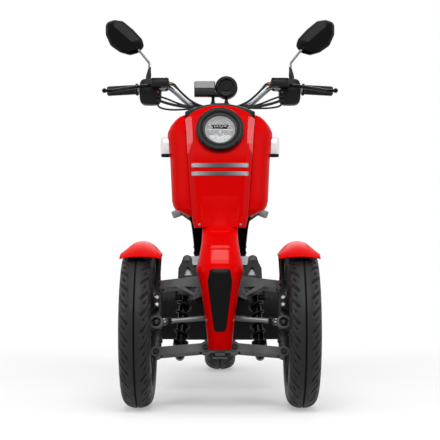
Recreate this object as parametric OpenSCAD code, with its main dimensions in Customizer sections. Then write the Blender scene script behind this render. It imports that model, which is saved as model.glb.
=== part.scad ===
// Electric tilting scooter with two steered front wheels and one driven rear wheel.
// The front faces -Y, +Z is up and +X is the rider's left. Lengths in millimetres.

/* [Wheels] */
// Distance from the front axle line to the rear axle
wheelbase = 1280; // [1180:5:1380]
// Distance between the front wheel planes
track = 474; // [460:2:500]
// Outer diameter of a front tyre
front_tyre_d = 467; // [455:1:480]
// Width of a front tyre
front_tyre_w = 90; // [84:1:94]
// Outer diameter of the rear tyre
rear_tyre_d = 473; // [460:1:485]
// Width of the rear tyre
rear_tyre_w = 120; // [110:1:124]
// Diameter of the bead seat of all rims
bead_d = 305; // [300:1:310]
// Diameter of a front stub axle
stub_axle_d = 20; // [17:0.5:22]
// Diameter of the rear axle
rear_axle_d = 16; // [14:0.5:18]
// Diameter of the brake discs
disc_d = 200; // [180:2:210]
// Radial running clearance of pins and axles
run_gap = 0.05; // [0.02:0.01:0.1]

/* [Front linkage] */
// Rake of the kingpins and of the steering column, in degrees
rake = 20; // [16:0.5:23]
// Distance of a kingpin from the centre plane
kingpin_x = 184; // [180:1:186]
// Diameter of the kingpins
kingpin_d = 18; // [15:0.5:20]
// Outer diameter of the knuckle tube round a kingpin
knuckle_tube_d = 28; // [26:0.5:30]
// Height along the kingpin of the lower outer pivot, from the axle
lower_out_w = -78; // [-82:1:-74]
// Height along the kingpin of the upper outer pivot, from the axle
upper_out_w = 124; // [120:1:126]
// Height of the lower inner pivot, along the rake
lower_in_w = -65; // [-70:1:-60]
// Height of the upper inner pivot, along the rake
upper_in_w = 142; // [138:1:146]
// Distance of the inner pivots from the centre plane
inner_pivot_x = 42; // [40:1:46]
// Outer diameter of a pivot eye
eye_d = 32; // [31:1:34]
// Diameter of a pivot pin
pivot_pin_d = 18; // [16:0.5:19]
// Depth of an arm, across its fork
arm_depth = 40; // [38:1:44]
// Thickness of the lug that a fork holds
lug_t = 24; // [20:1:26]
// Clearance between pieces that stay still against each other
seat_gap = 0.25; // [0.2:0.05:0.4]
// Length of the steering arms, ahead of their axes
steer_arm = 45; // [40:1:48]
// Distance of the pitman studs from the centre plane
pitman_x = 12; // [12:0.5:14]
// Diameter of the tie rods
tie_rod_d = 15; // [12:0.5:16]
// Distance of the steering axis behind the kingpin plane
head_u = 19; // [17:1:22]
// Diameter of the steering stem
stem_d = 28; // [25:0.5:30]
// Outer diameter of the head tube
head_d = 44; // [42:0.5:45]
// Distance of a damper's upper bolt from the centre plane
damper_top_x = 98; // [94:1:102]
// Distance of a damper's lower bolt from the centre plane
damper_foot_x = 118; // [112:1:122]
// Diameter of the damper bolts
damper_bolt_d = 14; // [12:0.5:16]
// Diameter of the front springs
spring_d = 46; // [42:1:48]

/* [Bodywork] */
// Thickness of the painted panels
skin_t = 3; // [2.5:0.1:4]
// Height of the top of the footboard
floor_z = 335; // [325:1:345]
// Half width of the footboard
floor_hw = 205; // [190:1:220]
// Height of the underside of the belly
belly_z = 165; // [155:1:175]
// Height of the headlight's centre
lamp_z = 813; // [808:1:818]
// Outer diameter of the headlight bezel
bezel_d = 138; // [132:1:142]
// Diameter of the headlight lens
lens_d = 91; // [86:1:94]
// Half width of the red wing panels beside the headlight
wing_hw = 163; // [156:1:166]
// Distance of the tail's end behind the rear axle
tail_overhang = 286.5; // [280:0.5:300]
// Radius of a fender's crown above the tyre
fender_rise = 15; // [12:0.5:18]
// Half width of a fender
fender_hw = 59; // [56:1:62]

/* [Handlebar] */
// Diameter of the handlebar tube
bar_d = 22; // [20:0.5:24]
// Diameter of the grips
grip_d = 31; // [29:0.5:34]
// Height of the middle of the handlebar
bar_z = 905; // [900:1:910]
// Height of the grips
grip_z = 972; // [966:1:978]
// Distance of a grip's outer end from the centre plane
grip_end_x = 357; // [350:1:362]
// Length of a grip
grip_l = 97; // [90:1:105]

/* [Seat] */
// Height of the seat's underside
seat_z = 718; // [708:1:728]
// Thickness of the seat cushion
cushion_t = 78; // [70:1:90]
// Half width of the seat at its widest
seat_hw = 132; // [124:1:138]
// Half width of the storage bay under the seat
bay_hw = 88; // [80:1:92]
// Spacing of the rack bolts across the grab rail's plate
rack_dx = 80; // [70:1:90]
// Spacing of the rack bolts along the grab rail's plate
rack_dy = 50; // [44:1:56]
// Diameter of the rack bolt holes
rack_hole_d = 8.5; // [8:0.5:9]
// Spacing of the plate bolts
plate_dx = 110; // [100:1:120]
// Diameter of the plate bolt holes
plate_hole_d = 6.5; // [6:0.5:7]

/* [Hidden] */
$fn = 48;
front_r = front_tyre_d / 2;
rear_r = rear_tyre_d / 2;
front_y = -(front_r + wheelbase + tail_overhang) / 2 + front_r;
rear_y = front_y + wheelbase;
red = "#d80a0a";
black = "#1c1c1e";
grey = "#4c4c4e";
silver = "#b8babd";
clear = "#d8dce0";

// Front linkage, in the raked frame: x across, u behind the kingpins, w along them
eye_r = eye_d / 2;
pin_hole_r = pivot_pin_d / 2 + seat_gap;
lug_solid = lug_t - 2 * seat_gap;
end_gap = 2;
knuckle_low = lower_out_w + eye_r + end_gap;
knuckle_high = upper_out_w - eye_r - end_gap;
head_low = 70;
head_high = 330;
spine_u = head_u + head_d / 2 - 1;
spine_t = 22;
spine_hw = 22;
spine_back = spine_u + spine_t;
bracket_w = 212;
damper_u = 46;
damper_eye_t = 24;
damper_bolt_r = damper_bolt_d / 2;
damper_foot_w = lower_out_w
    + (lower_in_w - lower_out_w) * (kingpin_x - damper_foot_x) / (kingpin_x - inner_pivot_x);
stud_r = 6;
stud_eye_r = 10.5;
pitman_w = 34;
pitman_t = 10;
tie_in = [pitman_x, head_u - steer_arm, 23];
tie_out = [kingpin_x, -steer_arm, 0];
ball_r = 9.5;
ring_r = 20;
ring_hole_r = 12.6;
ring_t = 14;
bar_w = (bar_z - front_r) / cos(rake) + head_u * tan(rake);

// Wheels, in the wheel's frame: z along the axle, outwards
wheel_x = track / 2;
bead_r = bead_d / 2;
flange_h = 10.5;
disc_in = -20;
disc_t = 4;
hub_in = -17;
hub_out = 22;
hub_r = 24;
rear_hub_hw = 52;
drum_r = 105;
drum_hw = 36;
disc_gap = 8;

// Distances behind the front axle along the body
belly_s0 = 420;
belly_s1 = wheelbase - 375;
wall_t = 4;
deck_t = 30;
mat_t = 4;
tail_z = 586.3;
rail_x = 110;
rail_r = 14;
rail_z = 240;
sub_x = 50;
sub_r = 11;
sub_s = wheelbase - 320;
sub_z = tail_z - seat_gap - sub_r;
pivot_s = wheelbase - 300;
pivot_z = 300;
pivot_r = 8;
arm_in = rear_tyre_w / 2 + 9;
arm_t = 18;
rear_damper_x = arm_in + arm_t + 1;
tail_s = wheelbase + tail_overhang;

function Y(s) = front_y + s;
function spread(c, p) = sign(c) * pow(abs(c), 2 / p);
// Smooth curve through points, k steps to a span
function blend4(a, b, c, d, t) =
    0.5 * (2 * b + (c - a) * t + (2 * a - 5 * b + 4 * c - d) * t * t + (3 * b - a - 3 * c + d) * t * t * t);
function smooth(p, k) = let (m = len(p) - 1) [
    for (i = [0:m - 1]) for (j = [0:k - 1])
        blend4(p[max(i - 1, 0)], p[i], p[i + 1], p[min(i + 2, m)], j / k),
    p[m]];
// Open C of a panel at one height: half width, y of the open side, y of the closed side
function c_ring(z, hw, mouth, crown, t, p = 2.6, n = 16) = let (d = crown < mouth ? -1 : 1) [
    for (i = [0:n]) let (a = 180 * i / n)
        [d * hw * spread(cos(a), p), mouth + (crown - mouth) * spread(sin(a), p), z],
    for (i = [n:-1:0]) let (a = 180 * i / n)
        [d * (hw - t) * spread(cos(a), p), mouth + (crown - d * t - mouth) * spread(sin(a), p), z]];
module loft(rings) {
    n = len(rings[0]);
    m = len(rings);
    polyhedron(points = [for (r = rings) each r], faces = [
        [for (j = [0:n - 1]) j],
        [for (j = [n - 1:-1:0]) (m - 1) * n + j],
        for (i = [0:m - 2]) for (j = [0:n - 1])
            let (a = i * n + j, b = i * n + (j + 1) % n) each [[a, a + n, b + n], [a, b + n, b]]]);
}
module pair() {
    children();
    mirror([1, 0, 0]) children();
}
module rod(a, b, r) {
    v = b - a;
    translate(a) rotate([0, acos(v.z / norm(v)), atan2(v.y, v.x)]) cylinder(h = norm(v), r = r);
}
// Bent tube through points, with a slightly fuller ball at each bend
module bent(p, r) {
    for (i = [1:len(p) - 1]) rod(p[i - 1], p[i], r);
    for (i = [1:len(p) - 2]) translate(p[i]) sphere(r = r * 1.02);
}
module along_x(x0, x1, r) {
    translate([x0, 0, 0]) rotate([0, 90, 0]) cylinder(h = x1 - x0, r = r);
}
module along_y(y0, y1, r) {
    translate([0, y0, 0]) rotate([-90, 0, 0]) cylinder(h = y1 - y0, r = r);
}
// Outline in the X-Z plane, drawn from y0 to y1
module front_plate(y0, y1) {
    translate([0, y1, 0]) rotate([90, 0, 0]) linear_extrude(y1 - y0) children();
}
// Outline in the Y-Z plane, drawn from x0 to x1
module side_plate(x0, x1) {
    translate([x0, 0, 0]) rotate([90, 0, 90]) linear_extrude(x1 - x0) children();
}
module raked() {
    translate([0, front_y, front_r]) rotate([-rake, 0, 0]) children();
}

// Post that carries the head tube, the arms' inner pivots and the dampers' tops
module pivot_beam(w) {
    translate([-inner_pivot_x, -lug_solid / 2, w - 10]) cube([2 * inner_pivot_x, lug_solid, 20]);
    pair() translate([inner_pivot_x, 0, w]) along_y(-lug_solid / 2, lug_solid / 2, eye_r);
}
module suspension_post() {
    spine_low = lower_in_w - 14;
    web_hw = 14;
    bracket_u0 = 14;
    bracket_u1 = 29;
    color(grey) raked() difference() {
        union() {
            translate([0, head_u, head_low]) cylinder(h = head_high - head_low, d = head_d);
            translate([-spine_hw, spine_u, spine_low])
                cube([2 * spine_hw, spine_t, head_low + 140 - spine_low]);
            translate([-web_hw, 0, spine_low + 2]) cube([2 * web_hw, spine_u + 1, 24]);
            pivot_beam(lower_in_w);
            pivot_beam(upper_in_w);
            pair() translate([0, bracket_u0, bracket_w - 14])
                cube([damper_top_x, bracket_u1 - bracket_u0, 28]);
            pair() translate([damper_top_x, 0, bracket_w]) {
                along_y(bracket_u0, bracket_u1, 15);
                along_y(bracket_u0 - 4, damper_u + damper_eye_t / 2 + 4, damper_bolt_r);
            }
        }
        translate([0, head_u, head_low - 1])
            cylinder(h = head_high - head_low + 2, r = stem_d / 2 + run_gap);
        for (w = [lower_in_w, upper_in_w]) pair() translate([inner_pivot_x, 0, w])
            along_y(-lug_t, lug_t, pin_hole_r);
    }
}

// Forked arm between two pivots, with an outline added by its children
module forked_arm(w_in, w_out) {
    run = [kingpin_x - inner_pivot_x, w_out - w_in];
    half_h = 12;
    slot = eye_r + 1.5;
    difference() {
        front_plate(-arm_depth / 2, arm_depth / 2) difference() {
            union() {
                translate([inner_pivot_x, w_in]) circle(eye_r);
                translate([kingpin_x, w_out]) circle(eye_r);
                translate([inner_pivot_x, w_in]) rotate(atan2(run.y, run.x))
                    translate([0, -half_h]) square([norm(run), 2 * half_h]);
                children();
            }
            translate([inner_pivot_x, w_in]) circle(pin_hole_r);
            translate([kingpin_x, w_out]) circle(pin_hole_r);
        }
        for (p = [[inner_pivot_x, w_in], [kingpin_x, w_out]])
            translate([p.x - slot, -lug_t / 2, p.y - slot]) cube([2 * slot, lug_t, 2 * slot]);
    }
}
module upper_arms() {
    gusset_x = 130;
    color(grey) raked() pair() difference() {
        forked_arm(upper_in_w, upper_out_w)
            polygon([[gusset_x, upper_out_w - 5], [gusset_x - 52, upper_in_w - 52],
                [gusset_x - 74, upper_in_w - 40], [inner_pivot_x + eye_r, upper_in_w]]);
        front_plate(-arm_depth, arm_depth)
            polygon([[gusset_x - 24, upper_in_w - 24], [gusset_x - 54, upper_in_w - 42],
                [gusset_x - 62, upper_in_w - 24]]);
    }
}
module lower_arms() {
    color(grey) raked() pair() {
        forked_arm(lower_in_w, lower_out_w);
        translate([damper_foot_x, 0, damper_foot_w])
            along_y(arm_depth / 2 - 2, damper_u + damper_eye_t / 2 + 4, damper_bolt_r);
    }
}
module kingpins() {
    color(silver) raked() pair() translate([kingpin_x, 0, 0]) difference() {
        union() {
            for (w = [lower_out_w, upper_out_w])
                translate([0, 0, w]) along_y(-lug_solid / 2, lug_solid / 2, eye_r);
            translate([0, 0, lower_out_w + eye_r - 4])
                cylinder(h = upper_out_w - lower_out_w - 2 * eye_r + 8, d = kingpin_d);
        }
        for (w = [lower_out_w, upper_out_w])
            translate([0, 0, w]) along_y(-lug_t, lug_t, pin_hole_r);
    }
}
module pivot_pins() {
    half_l = arm_depth / 2 - 3;
    color(black) raked() pair() {
        for (p = [[inner_pivot_x, lower_in_w], [inner_pivot_x, upper_in_w],
                [kingpin_x, lower_out_w], [kingpin_x, upper_out_w]])
            translate([p.x, 0, p.y]) along_y(-half_l, half_l, pivot_pin_d / 2);
    }
}

// Coil-over along z from its lower eye at 0 to its upper eye at l
module coil_over(l, coil_r, coils, eye_r, bolt_r, eye_t) {
    wire_r = 4;
    s0 = 34;
    s1 = l - 52;
    difference() {
        union() {
            for (z = [0, l]) translate([0, 0, z]) along_y(-eye_t / 2, eye_t / 2, eye_r);
            cylinder(h = l, r = 7);
            translate([0, 0, eye_r - 3]) cylinder(h = s0 - eye_r, r = coil_r - 6);
            translate([0, 0, s0 - 5]) cylinder(h = 6, r = coil_r);
            translate([0, 0, s0]) cylinder(h = s1 - s0, r = coil_r - wire_r - 1);
            translate([0, 0, s1 - 1]) cylinder(h = 6, r = coil_r);
            for (i = [0:coils - 1])
                translate([0, 0, s0 + (i + 0.7) * (s1 - s0) / (coils + 0.4)])
                    rotate_extrude() translate([coil_r - wire_r, 0]) circle(wire_r, $fn = 24);
        }
        for (z = [0, l]) translate([0, 0, z]) along_y(-eye_t, eye_t, bolt_r + seat_gap);
    }
}
module front_dampers() {
    run = [damper_top_x - damper_foot_x, bracket_w - damper_foot_w];
    l = norm(run);
    yoke_l = 74;
    yoke_hw = 27;
    color(black) raked() pair() translate([damper_foot_x, damper_u, damper_foot_w])
        rotate([0, atan2(run.x, run.y), 0]) {
            coil_over(l, spring_d / 2, 7, 14, damper_bolt_r, damper_eye_t);
            translate([0, 0, l]) front_plate(-9, 9) difference() {
                polygon([[-10, -8], [-yoke_hw, -yoke_l], [yoke_hw, -yoke_l], [10, -8]]);
                for (d = [-1, 1]) polygon([[d * 10, -22], [d * 10, -yoke_l + 12],
                    [d * (yoke_hw - 9), -yoke_l + 12]]);
            }
        }
}

// Knuckle on its kingpin, on the rider's left
module knuckle() {
    axle_end = wheel_x + hub_out + 14;
    neck_l = 22;
    boss_u = 34;
    boss_w = [46, 90];
    collar_w = -46;
    calip_hw = 5;
    raked() difference() {
        union() {
            translate([kingpin_x, 0, 0]) {
                translate([0, 0, knuckle_low]) cylinder(h = knuckle_high - knuckle_low, d = knuckle_tube_d);
                translate([0, 0, collar_w]) cylinder(h = 14, d = knuckle_tube_d + 6);
                translate([-9, neck_l - steer_arm, -10]) cube([18, steer_arm - neck_l, 20]);
                along_y(-steer_arm, neck_l - steer_arm + 1, 5);
                translate([0, -steer_arm, 0]) sphere(ball_r);
                translate([-6, -boss_u, boss_w[0]]) cube([14, boss_u, boss_w[1] - boss_w[0]]);
            }
            along_x(kingpin_x, wheel_x + hub_in - 0.5, 18);
            along_x(kingpin_x, axle_end, stub_axle_d / 2);
            along_x(wheel_x + hub_out + 0.5, axle_end, 14);
            rotate([rake, 0, 0]) translate([kingpin_x + 15, 0, -16]) cube([2 * calip_hw, 96, 32]);
        }
        translate([kingpin_x, 0, knuckle_low - 1])
            cylinder(h = knuckle_high - knuckle_low + 2, r = kingpin_d / 2 + run_gap);
    }
}
module knuckle_left() {
    color(grey) knuckle();
}
module knuckle_right() {
    color(grey) mirror([1, 0, 0]) knuckle();
}
module caliper() {
    r0 = 66;
    r1 = disc_d / 2 + 14;
    hw = 14;
    x_mid = wheel_x + disc_in + disc_t / 2;
    slot = disc_t / 2 + 1.5;
    translate([0, front_y, front_r]) difference() {
        translate([x_mid - hw, r0, -30]) cube([2 * hw, r1 - r0, 60]);
        translate([x_mid - slot, r0 - 1, -40]) cube([2 * slot, disc_d / 2 + 3 - r0 + 1, 80]);
        translate([kingpin_x + 15 - seat_gap - 1, r0 - 1, -17]) cube([11 + 2 * seat_gap, 31, 34]);
    }
}
module caliper_left() {
    color(black) caliper();
}
module caliper_right() {
    color(black) mirror([1, 0, 0]) caliper();
}

// Tie rod from a pitman stud to a knuckle's ball
module tie_rod() {
    run = tie_out - tie_in;
    step = run / norm(run);
    raked() difference() {
        union() {
            translate(tie_in - [0, 0, 7]) cylinder(h = 14, r = stud_eye_r);
            rod(tie_in + 8 * step, tie_out - 17 * step, tie_rod_d / 2);
            rod(tie_out - 32 * step, tie_out - 18 * step, 10);
            translate(tie_out) along_y(-ring_t / 2, ring_t / 2, ring_r);
        }
        translate(tie_in - [0, 0, 8]) cylinder(h = 16, r = stud_r + run_gap);
        translate(tie_out) along_y(-ring_t, ring_t, ring_hole_r);
    }
}
module tie_rod_left() {
    color(silver) tie_rod();
}
module tie_rod_right() {
    color(silver) mirror([1, 0, 0]) tie_rod();
}

// Tyre of revolution: sidewalls and crown from one rounded section, beads between the rim's flanges
module tyre(r_out, w) {
    mid_r = (r_out + bead_r) / 2;
    bead_hw = w / 2 - 16.5;
    steps = 28;
    power = 2.35;
    rotate_extrude($fn = 96) polygon([
        [bead_r + seat_gap, -bead_hw], [bead_r + flange_h + 1.2, -bead_hw],
        for (i = [0:steps]) let (a = 220 - 260 * i / steps, h = sin(a) > 0 ? r_out - mid_r : mid_r - bead_r)
            [mid_r + h * spread(sin(a), power), w / 2 * spread(cos(a), power)],
        [bead_r + flange_h + 1.2, bead_hw], [bead_r + seat_gap, bead_hw]]);
}
module barrel(w) {
    hw = w / 2 - 12;
    flange_r = bead_r + flange_h;
    lip_r = bead_r - 5.5;
    well_r = bead_r - 9.5;
    rotate_extrude($fn = 96) polygon([
        [lip_r, -hw], [flange_r, -hw], [flange_r, -hw + 2.5], [bead_r, -hw + 4], [bead_r - 2, -hw + 17],
        [well_r, -hw + 22], [well_r, hw - 22], [bead_r - 2, hw - 17], [bead_r, hw - 4],
        [flange_r, hw - 2.5], [flange_r, hw], [lip_r, hw], [lip_r, hw - 13], [well_r - 5, hw - 20],
        [well_r - 5, 20 - hw], [lip_r, 13 - hw]]);
}
module front_rim() {
    spokes = 5;
    spoke_w = 24;
    difference() {
        union() {
            barrel(front_tyre_w);
            translate([0, 0, hub_in]) cylinder(h = hub_out - hub_in, r = hub_r);
            for (i = [0:spokes - 1]) rotate(360 * i / spokes) translate([0, 0, 2]) linear_extrude(14)
                polygon([[hub_r - 6, -spoke_w / 2], [bead_r - 11.5, -spoke_w / 3],
                    [bead_r - 11.5, spoke_w / 3], [hub_r - 6, spoke_w / 2]]);
            translate([0, 0, disc_in]) difference() {
                cylinder(h = disc_t, d = disc_d);
                translate([0, 0, -1]) cylinder(h = disc_t + 2, r = 20);
            }
        }
        translate([0, 0, hub_in - 5]) cylinder(h = 60, r = stub_axle_d / 2 + run_gap);
    }
}
module rear_rim() {
    difference() {
        union() {
            barrel(rear_tyre_w);
            translate([0, 0, -drum_hw]) cylinder(h = 2 * drum_hw, r = drum_r);
            translate([0, 0, -10]) cylinder(h = 20, r = bead_r - 11.5);
            translate([0, 0, -rear_hub_hw]) cylinder(h = 2 * rear_hub_hw, r = 22);
            translate([0, 0, drum_hw + disc_gap]) cylinder(h = disc_t, d = disc_d);
        }
        translate([0, 0, -rear_hub_hw - 1])
            cylinder(h = 2 * rear_hub_hw + 2, r = rear_axle_d / 2 + run_gap);
    }
}
module at_front_wheel() {
    translate([wheel_x, front_y, front_r]) rotate([0, 90, 0]) children();
}
module at_rear_wheel() {
    translate([0, rear_y, rear_r]) rotate([0, 90, 0]) children();
}
module tyre_left() {
    color(black) at_front_wheel() tyre(front_r, front_tyre_w);
}
module tyre_right() {
    color(black) mirror([1, 0, 0]) at_front_wheel() tyre(front_r, front_tyre_w);
}
module tyre_rear() {
    color(black) at_rear_wheel() tyre(rear_r, rear_tyre_w);
}
module rim_left() {
    color(grey) at_front_wheel() front_rim();
}
module rim_right() {
    color(grey) mirror([1, 0, 0]) at_front_wheel() front_rim();
}
module rim_rear() {
    color(grey) at_rear_wheel() rear_rim();
}

// Fender arched over a front tyre, and the bracket that bolts it to the knuckle
module fender() {
    crown_r = front_r + fender_rise + skin_t;
    drop = 27;
    tail_hw = 39;
    n = 10;
    back = 65;
    ahead = 33;
    inset = 3;
    bracket_u = 34.3;
    bracket_t = 6;
    bracket_low = 46;
    bracket_top = 224;
    bracket_x0 = kingpin_x - 6;
    arch_lap = 14;
    bracket_x1 = max(kingpin_x + 5, wheel_x - inset - fender_hw + arch_lap);
    intersection() {
        translate([wheel_x - inset, front_y, front_r]) rotate([0, 90, 0]) rotate(180 - back)
            rotate_extrude(angle = back + ahead, $fn = 96) polygon([
                for (i = [-n:n]) [crown_r - drop * pow(abs(i / n), 2.6), fender_hw * i / n],
                for (i = [n:-1:-n])
                    [crown_r - skin_t - drop * pow(abs(i / n), 2.6), (fender_hw - skin_t * 0.4) * i / n]]);
        translate([wheel_x - inset, front_y, 0]) linear_extrude(2 * crown_r) polygon([
            [-fender_hw - 1, -crown_r], [fender_hw + 1, -crown_r], [fender_hw + 1, -25], [tail_hw, crown_r],
            [-tail_hw, crown_r], [-fender_hw - 1, -25]]);
    }
    raked() translate([bracket_x0, -bracket_u - bracket_t, bracket_low])
        cube([bracket_x1 - bracket_x0, bracket_t, bracket_top - bracket_low]);
}
module fender_left() {
    color(red) fender();
}
module fender_right() {
    color(red) mirror([1, 0, 0]) fender();
}

// Body shells: height, half width, front and rear, the last two behind the front axle
nose_form = [[175, 34, -120, -70], [220, 38, -140, -68], [280, 45, -150, -66], [340, 56, -150, -64],
    [395, 66, -136, -58], [445, 61, -100, -40], [485, 54, -48, 10], [526, 57, 8, 70], [560, 58, 45, 100]];
panel_form = [[525, 77, 20, 85], [555, 84, 26, 95], [607, 91, 30, 105], [672, 95, 36, 115],
    [748, 99, 48, 130], [813, 103, 66, 148], [869, 108, 95, 165], [900, 110, 118, 178]];
side_form = [[560, 94, 60, 124], [580, 133, 62, 150], [611, 144, 64, 165], [672, 148, 68, 180],
    [738, 152, 76, 195], [821, wing_hw, 96, 215], [873, 128, 130, 215]];
shield_low = [[floor_z - mat_t + 0.3, 150, 395, 440], [360, 100, 335, 415], [395, 74, 215, 325],
    [430, 78, 140, 262], [480, 80, 120, 240]];
shield_back = [248, 255, 265, 285, 305, 330, 330];

module shell(form, grow = 0, t = skin_t, p = 2.6) {
    loft([for (f = smooth(form, 3))
        c_ring(f[0], f[1] + grow, Y(f[3]), Y(f[2] - grow), t, p)]);
}
module nose_cover() {
    tuck = 0.4;
    panel_low = panel_form[0];
    color(red) difference() {
        shell(nose_form);
        side_plate(-80, 80) polygon([[Y(panel_low[2] - tuck), panel_low[0] - tuck],
            [Y(panel_form[1][2] - tuck), panel_form[1][0]], [Y(panel_form[1][2]), 600], [Y(140), 600],
            [Y(140), panel_low[0] - tuck]]);
    }
}
module nose_inlay() {
    gap = seat_gap;
    inlay_t = 2;
    color(black) intersection() {
        shell(nose_form, gap + inlay_t, inlay_t);
        front_plate(Y(-200), Y(-60)) hull() {
            translate([0, 384]) for (d = [-18, 18]) translate([d, 0]) circle(16, $fn = 32);
            translate([0, 238]) for (d = [-6, 6]) translate([d, 0]) circle(10, $fn = 32);
        }
    }
}
lamp_tilt = 20;
lamp_s = 66;
module at_lamp() {
    translate([0, Y(lamp_s), lamp_z]) rotate([90 - lamp_tilt, 0, 0]) children();
}
module front_panel() {
    arch_r = 215;
    arch_z = 897;
    color(red) difference() {
        intersection() {
            shell(panel_form, 0, skin_t, 3.2);
            translate([0, 0, arch_z - arch_r]) along_y(Y(-50), Y(250), arch_r);
        }
        at_lamp() translate([0, 0, -60]) cylinder(h = 120, r = bezel_d / 2 - 3);
    }
}
indicator_z = [760, 800];
indicator_s = 196;
module side_panels() {
    seam = 1.5;
    width = [for (f = panel_form) [f[0], f[1] + seam]];
    edge = [for (z = [540, 583, 641, 711, 783, 847, 890]) [lookup(z, width), z]];
    color(red) resize([2 * wing_hw, 0, 0]) difference() {
        shell(side_form, 0, skin_t, 2.2);
        front_plate(Y(0), Y(250))
            polygon([each edge, for (i = [len(edge) - 1:-1:0]) [-edge[i].x, edge[i].y]]);
    }
}
module panel_strips() {
    strip_z = [734, 708];
    strip_h = 13;
    strip_hw = 88;
    t = 1.6;
    color(silver) intersection() {
        shell(panel_form, seat_gap + t, t, 3.2);
        for (z = strip_z) front_plate(Y(-50), Y(140)) translate([-strip_hw, z - strip_h / 2])
            square([2 * strip_hw, strip_h]);
    }
}
module headlight_bezel() {
    r0 = lens_d / 2 + seat_gap;
    r1 = bezel_d / 2;
    r2 = r1 - 3 - seat_gap;
    color(black) at_lamp() rotate_extrude($fn = 72) polygon([[r0, -22], [r2, -22], [r2, 1], [r1, 1],
        [r1 - 1, 6], [r1 - 8, 10], [r0 + 6, 6], [r0, 1]]);
}
module headlight_lamp() {
    r = lens_d / 2;
    cup_d = 40;
    color(silver) at_lamp() rotate_extrude($fn = 72)
        polygon([[0, -cup_d - 3], [r - 20, -cup_d - 3], [r, -14], [r, -4], [r - 2, -4], [r - 2, -13],
            [r - 21, -cup_d], [0, -cup_d]]);
}
module headlight_lens() {
    r = lens_d / 2;
    dome = 7;
    n = 8;
    color(clear) at_lamp() rotate_extrude($fn = 72)
        polygon([[0, -3.7], [r, -3.7], for (i = [0:n]) [r * cos(90 * i / n), dome * sin(90 * i / n)]]);
}
module front_indicators() {
    z = indicator_z;
    r = 13;
    x = [157.1, 163.5];
    slope = 9;
    tip_x = 184;
    color(clear) pair() hull() for (i = [0, 1])
        translate([x[i], Y(indicator_s), z[i]]) rotate([0, 90 + slope, 0])
            cylinder(h = tip_x - x[i], r1 = r, r2 = r - 5, $fn = 32);
}
module leg_shield() {
    upper = [for (i = [0:len(side_form) - 1]) let (f = side_form[i])
        [f[0], f[1], f[3] + seat_gap, shield_back[i]]];
    color(black) loft([for (f = smooth([each shield_low, each upper], 3))
        c_ring(f[0], f[1], Y(f[2]), Y(f[3]), skin_t)]);
}
module top_cowl() {
    z = side_form[len(side_form) - 1][0] + seat_gap;
    joint_s = 172;
    hood_s = [140, 172];
    hood_hw = 98;
    hood_r = 457;
    hood_top = 903;
    n = 20;
    hole_s = head_u / cos(rake) + (z - front_r) * tan(rake);
    color(black) translate([0, 0, z]) linear_extrude(6) difference() {
        polygon([
            for (i = [0:n]) let (a = 180 * i / n)
                [-103 * spread(cos(a), 3.2), Y(joint_s - 62 * spread(sin(a), 3.2))],
            for (i = [0:n]) let (a = 180 * i / n)
                [127 * spread(cos(a), 2.6), Y(joint_s + 150 * spread(sin(a), 2.6))]]);
        translate([0, Y(hole_s)]) circle(36);
    }
    color(black) front_plate(Y(hood_s[0]), Y(hood_s[1])) intersection() {
        translate([0, hood_top - hood_r]) circle(hood_r, $fn = 180);
        translate([-hood_hw, z]) square([2 * hood_hw, 60]);
    }
}

// Frame, floor and rear
down_tube = [[0, Y(115), 350], [0, Y(490), 236]];
down_tube_r = 22;
module main_frame() {
    plate_w = [90, 200];
    plate_hw = 30;
    cross_s = down_tube[1].y;
    tail_end = wheelbase + 160;
    damper_top = [rear_damper_x + 12, Y(rear_damper_top_s), rear_damper_top_z];
    color(black) difference() {
        union() {
            raked() translate([-plate_hw, spine_back + seat_gap, plate_w[0]])
                cube([2 * plate_hw, 10, plate_w[1] - plate_w[0]]);
            rod(down_tube[0], down_tube[1], down_tube_r);
            rod([-rail_x, cross_s, rail_z], [rail_x, cross_s, rail_z], rail_r - 1);
            pair() {
                bent([[rail_x, cross_s - 10, rail_z], [rail_x, Y(belly_s1 - 25), rail_z],
                    [sub_x, Y(sub_s), rail_z + 45]], rail_r);
                bent([[sub_x, Y(sub_s), rail_z + 40], [sub_x, Y(sub_s), sub_z],
                    [sub_x, Y(tail_end), sub_z]], sub_r);
                rod([sub_x - 4, damper_top.y, damper_top.z], damper_top, rear_bolt_r);
            }
            translate([0, Y(tail_end - 20), sub_z]) along_x(-sub_x, sub_x, sub_r - 1);
            translate([0, Y(pivot_s), pivot_z]) along_x(-sub_x - 8, sub_x + 8, pivot_r + 8);
        }
        translate([0, Y(pivot_s), pivot_z]) along_x(-200, 200, pivot_r + seat_gap);
    }
}
rear_bolt_r = 6;
rear_damper_top_s = wheelbase - 65;
rear_damper_top_z = sub_z - 8;
rear_damper_foot_s = wheelbase - 30;
rear_damper_foot_z = 300;
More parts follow.
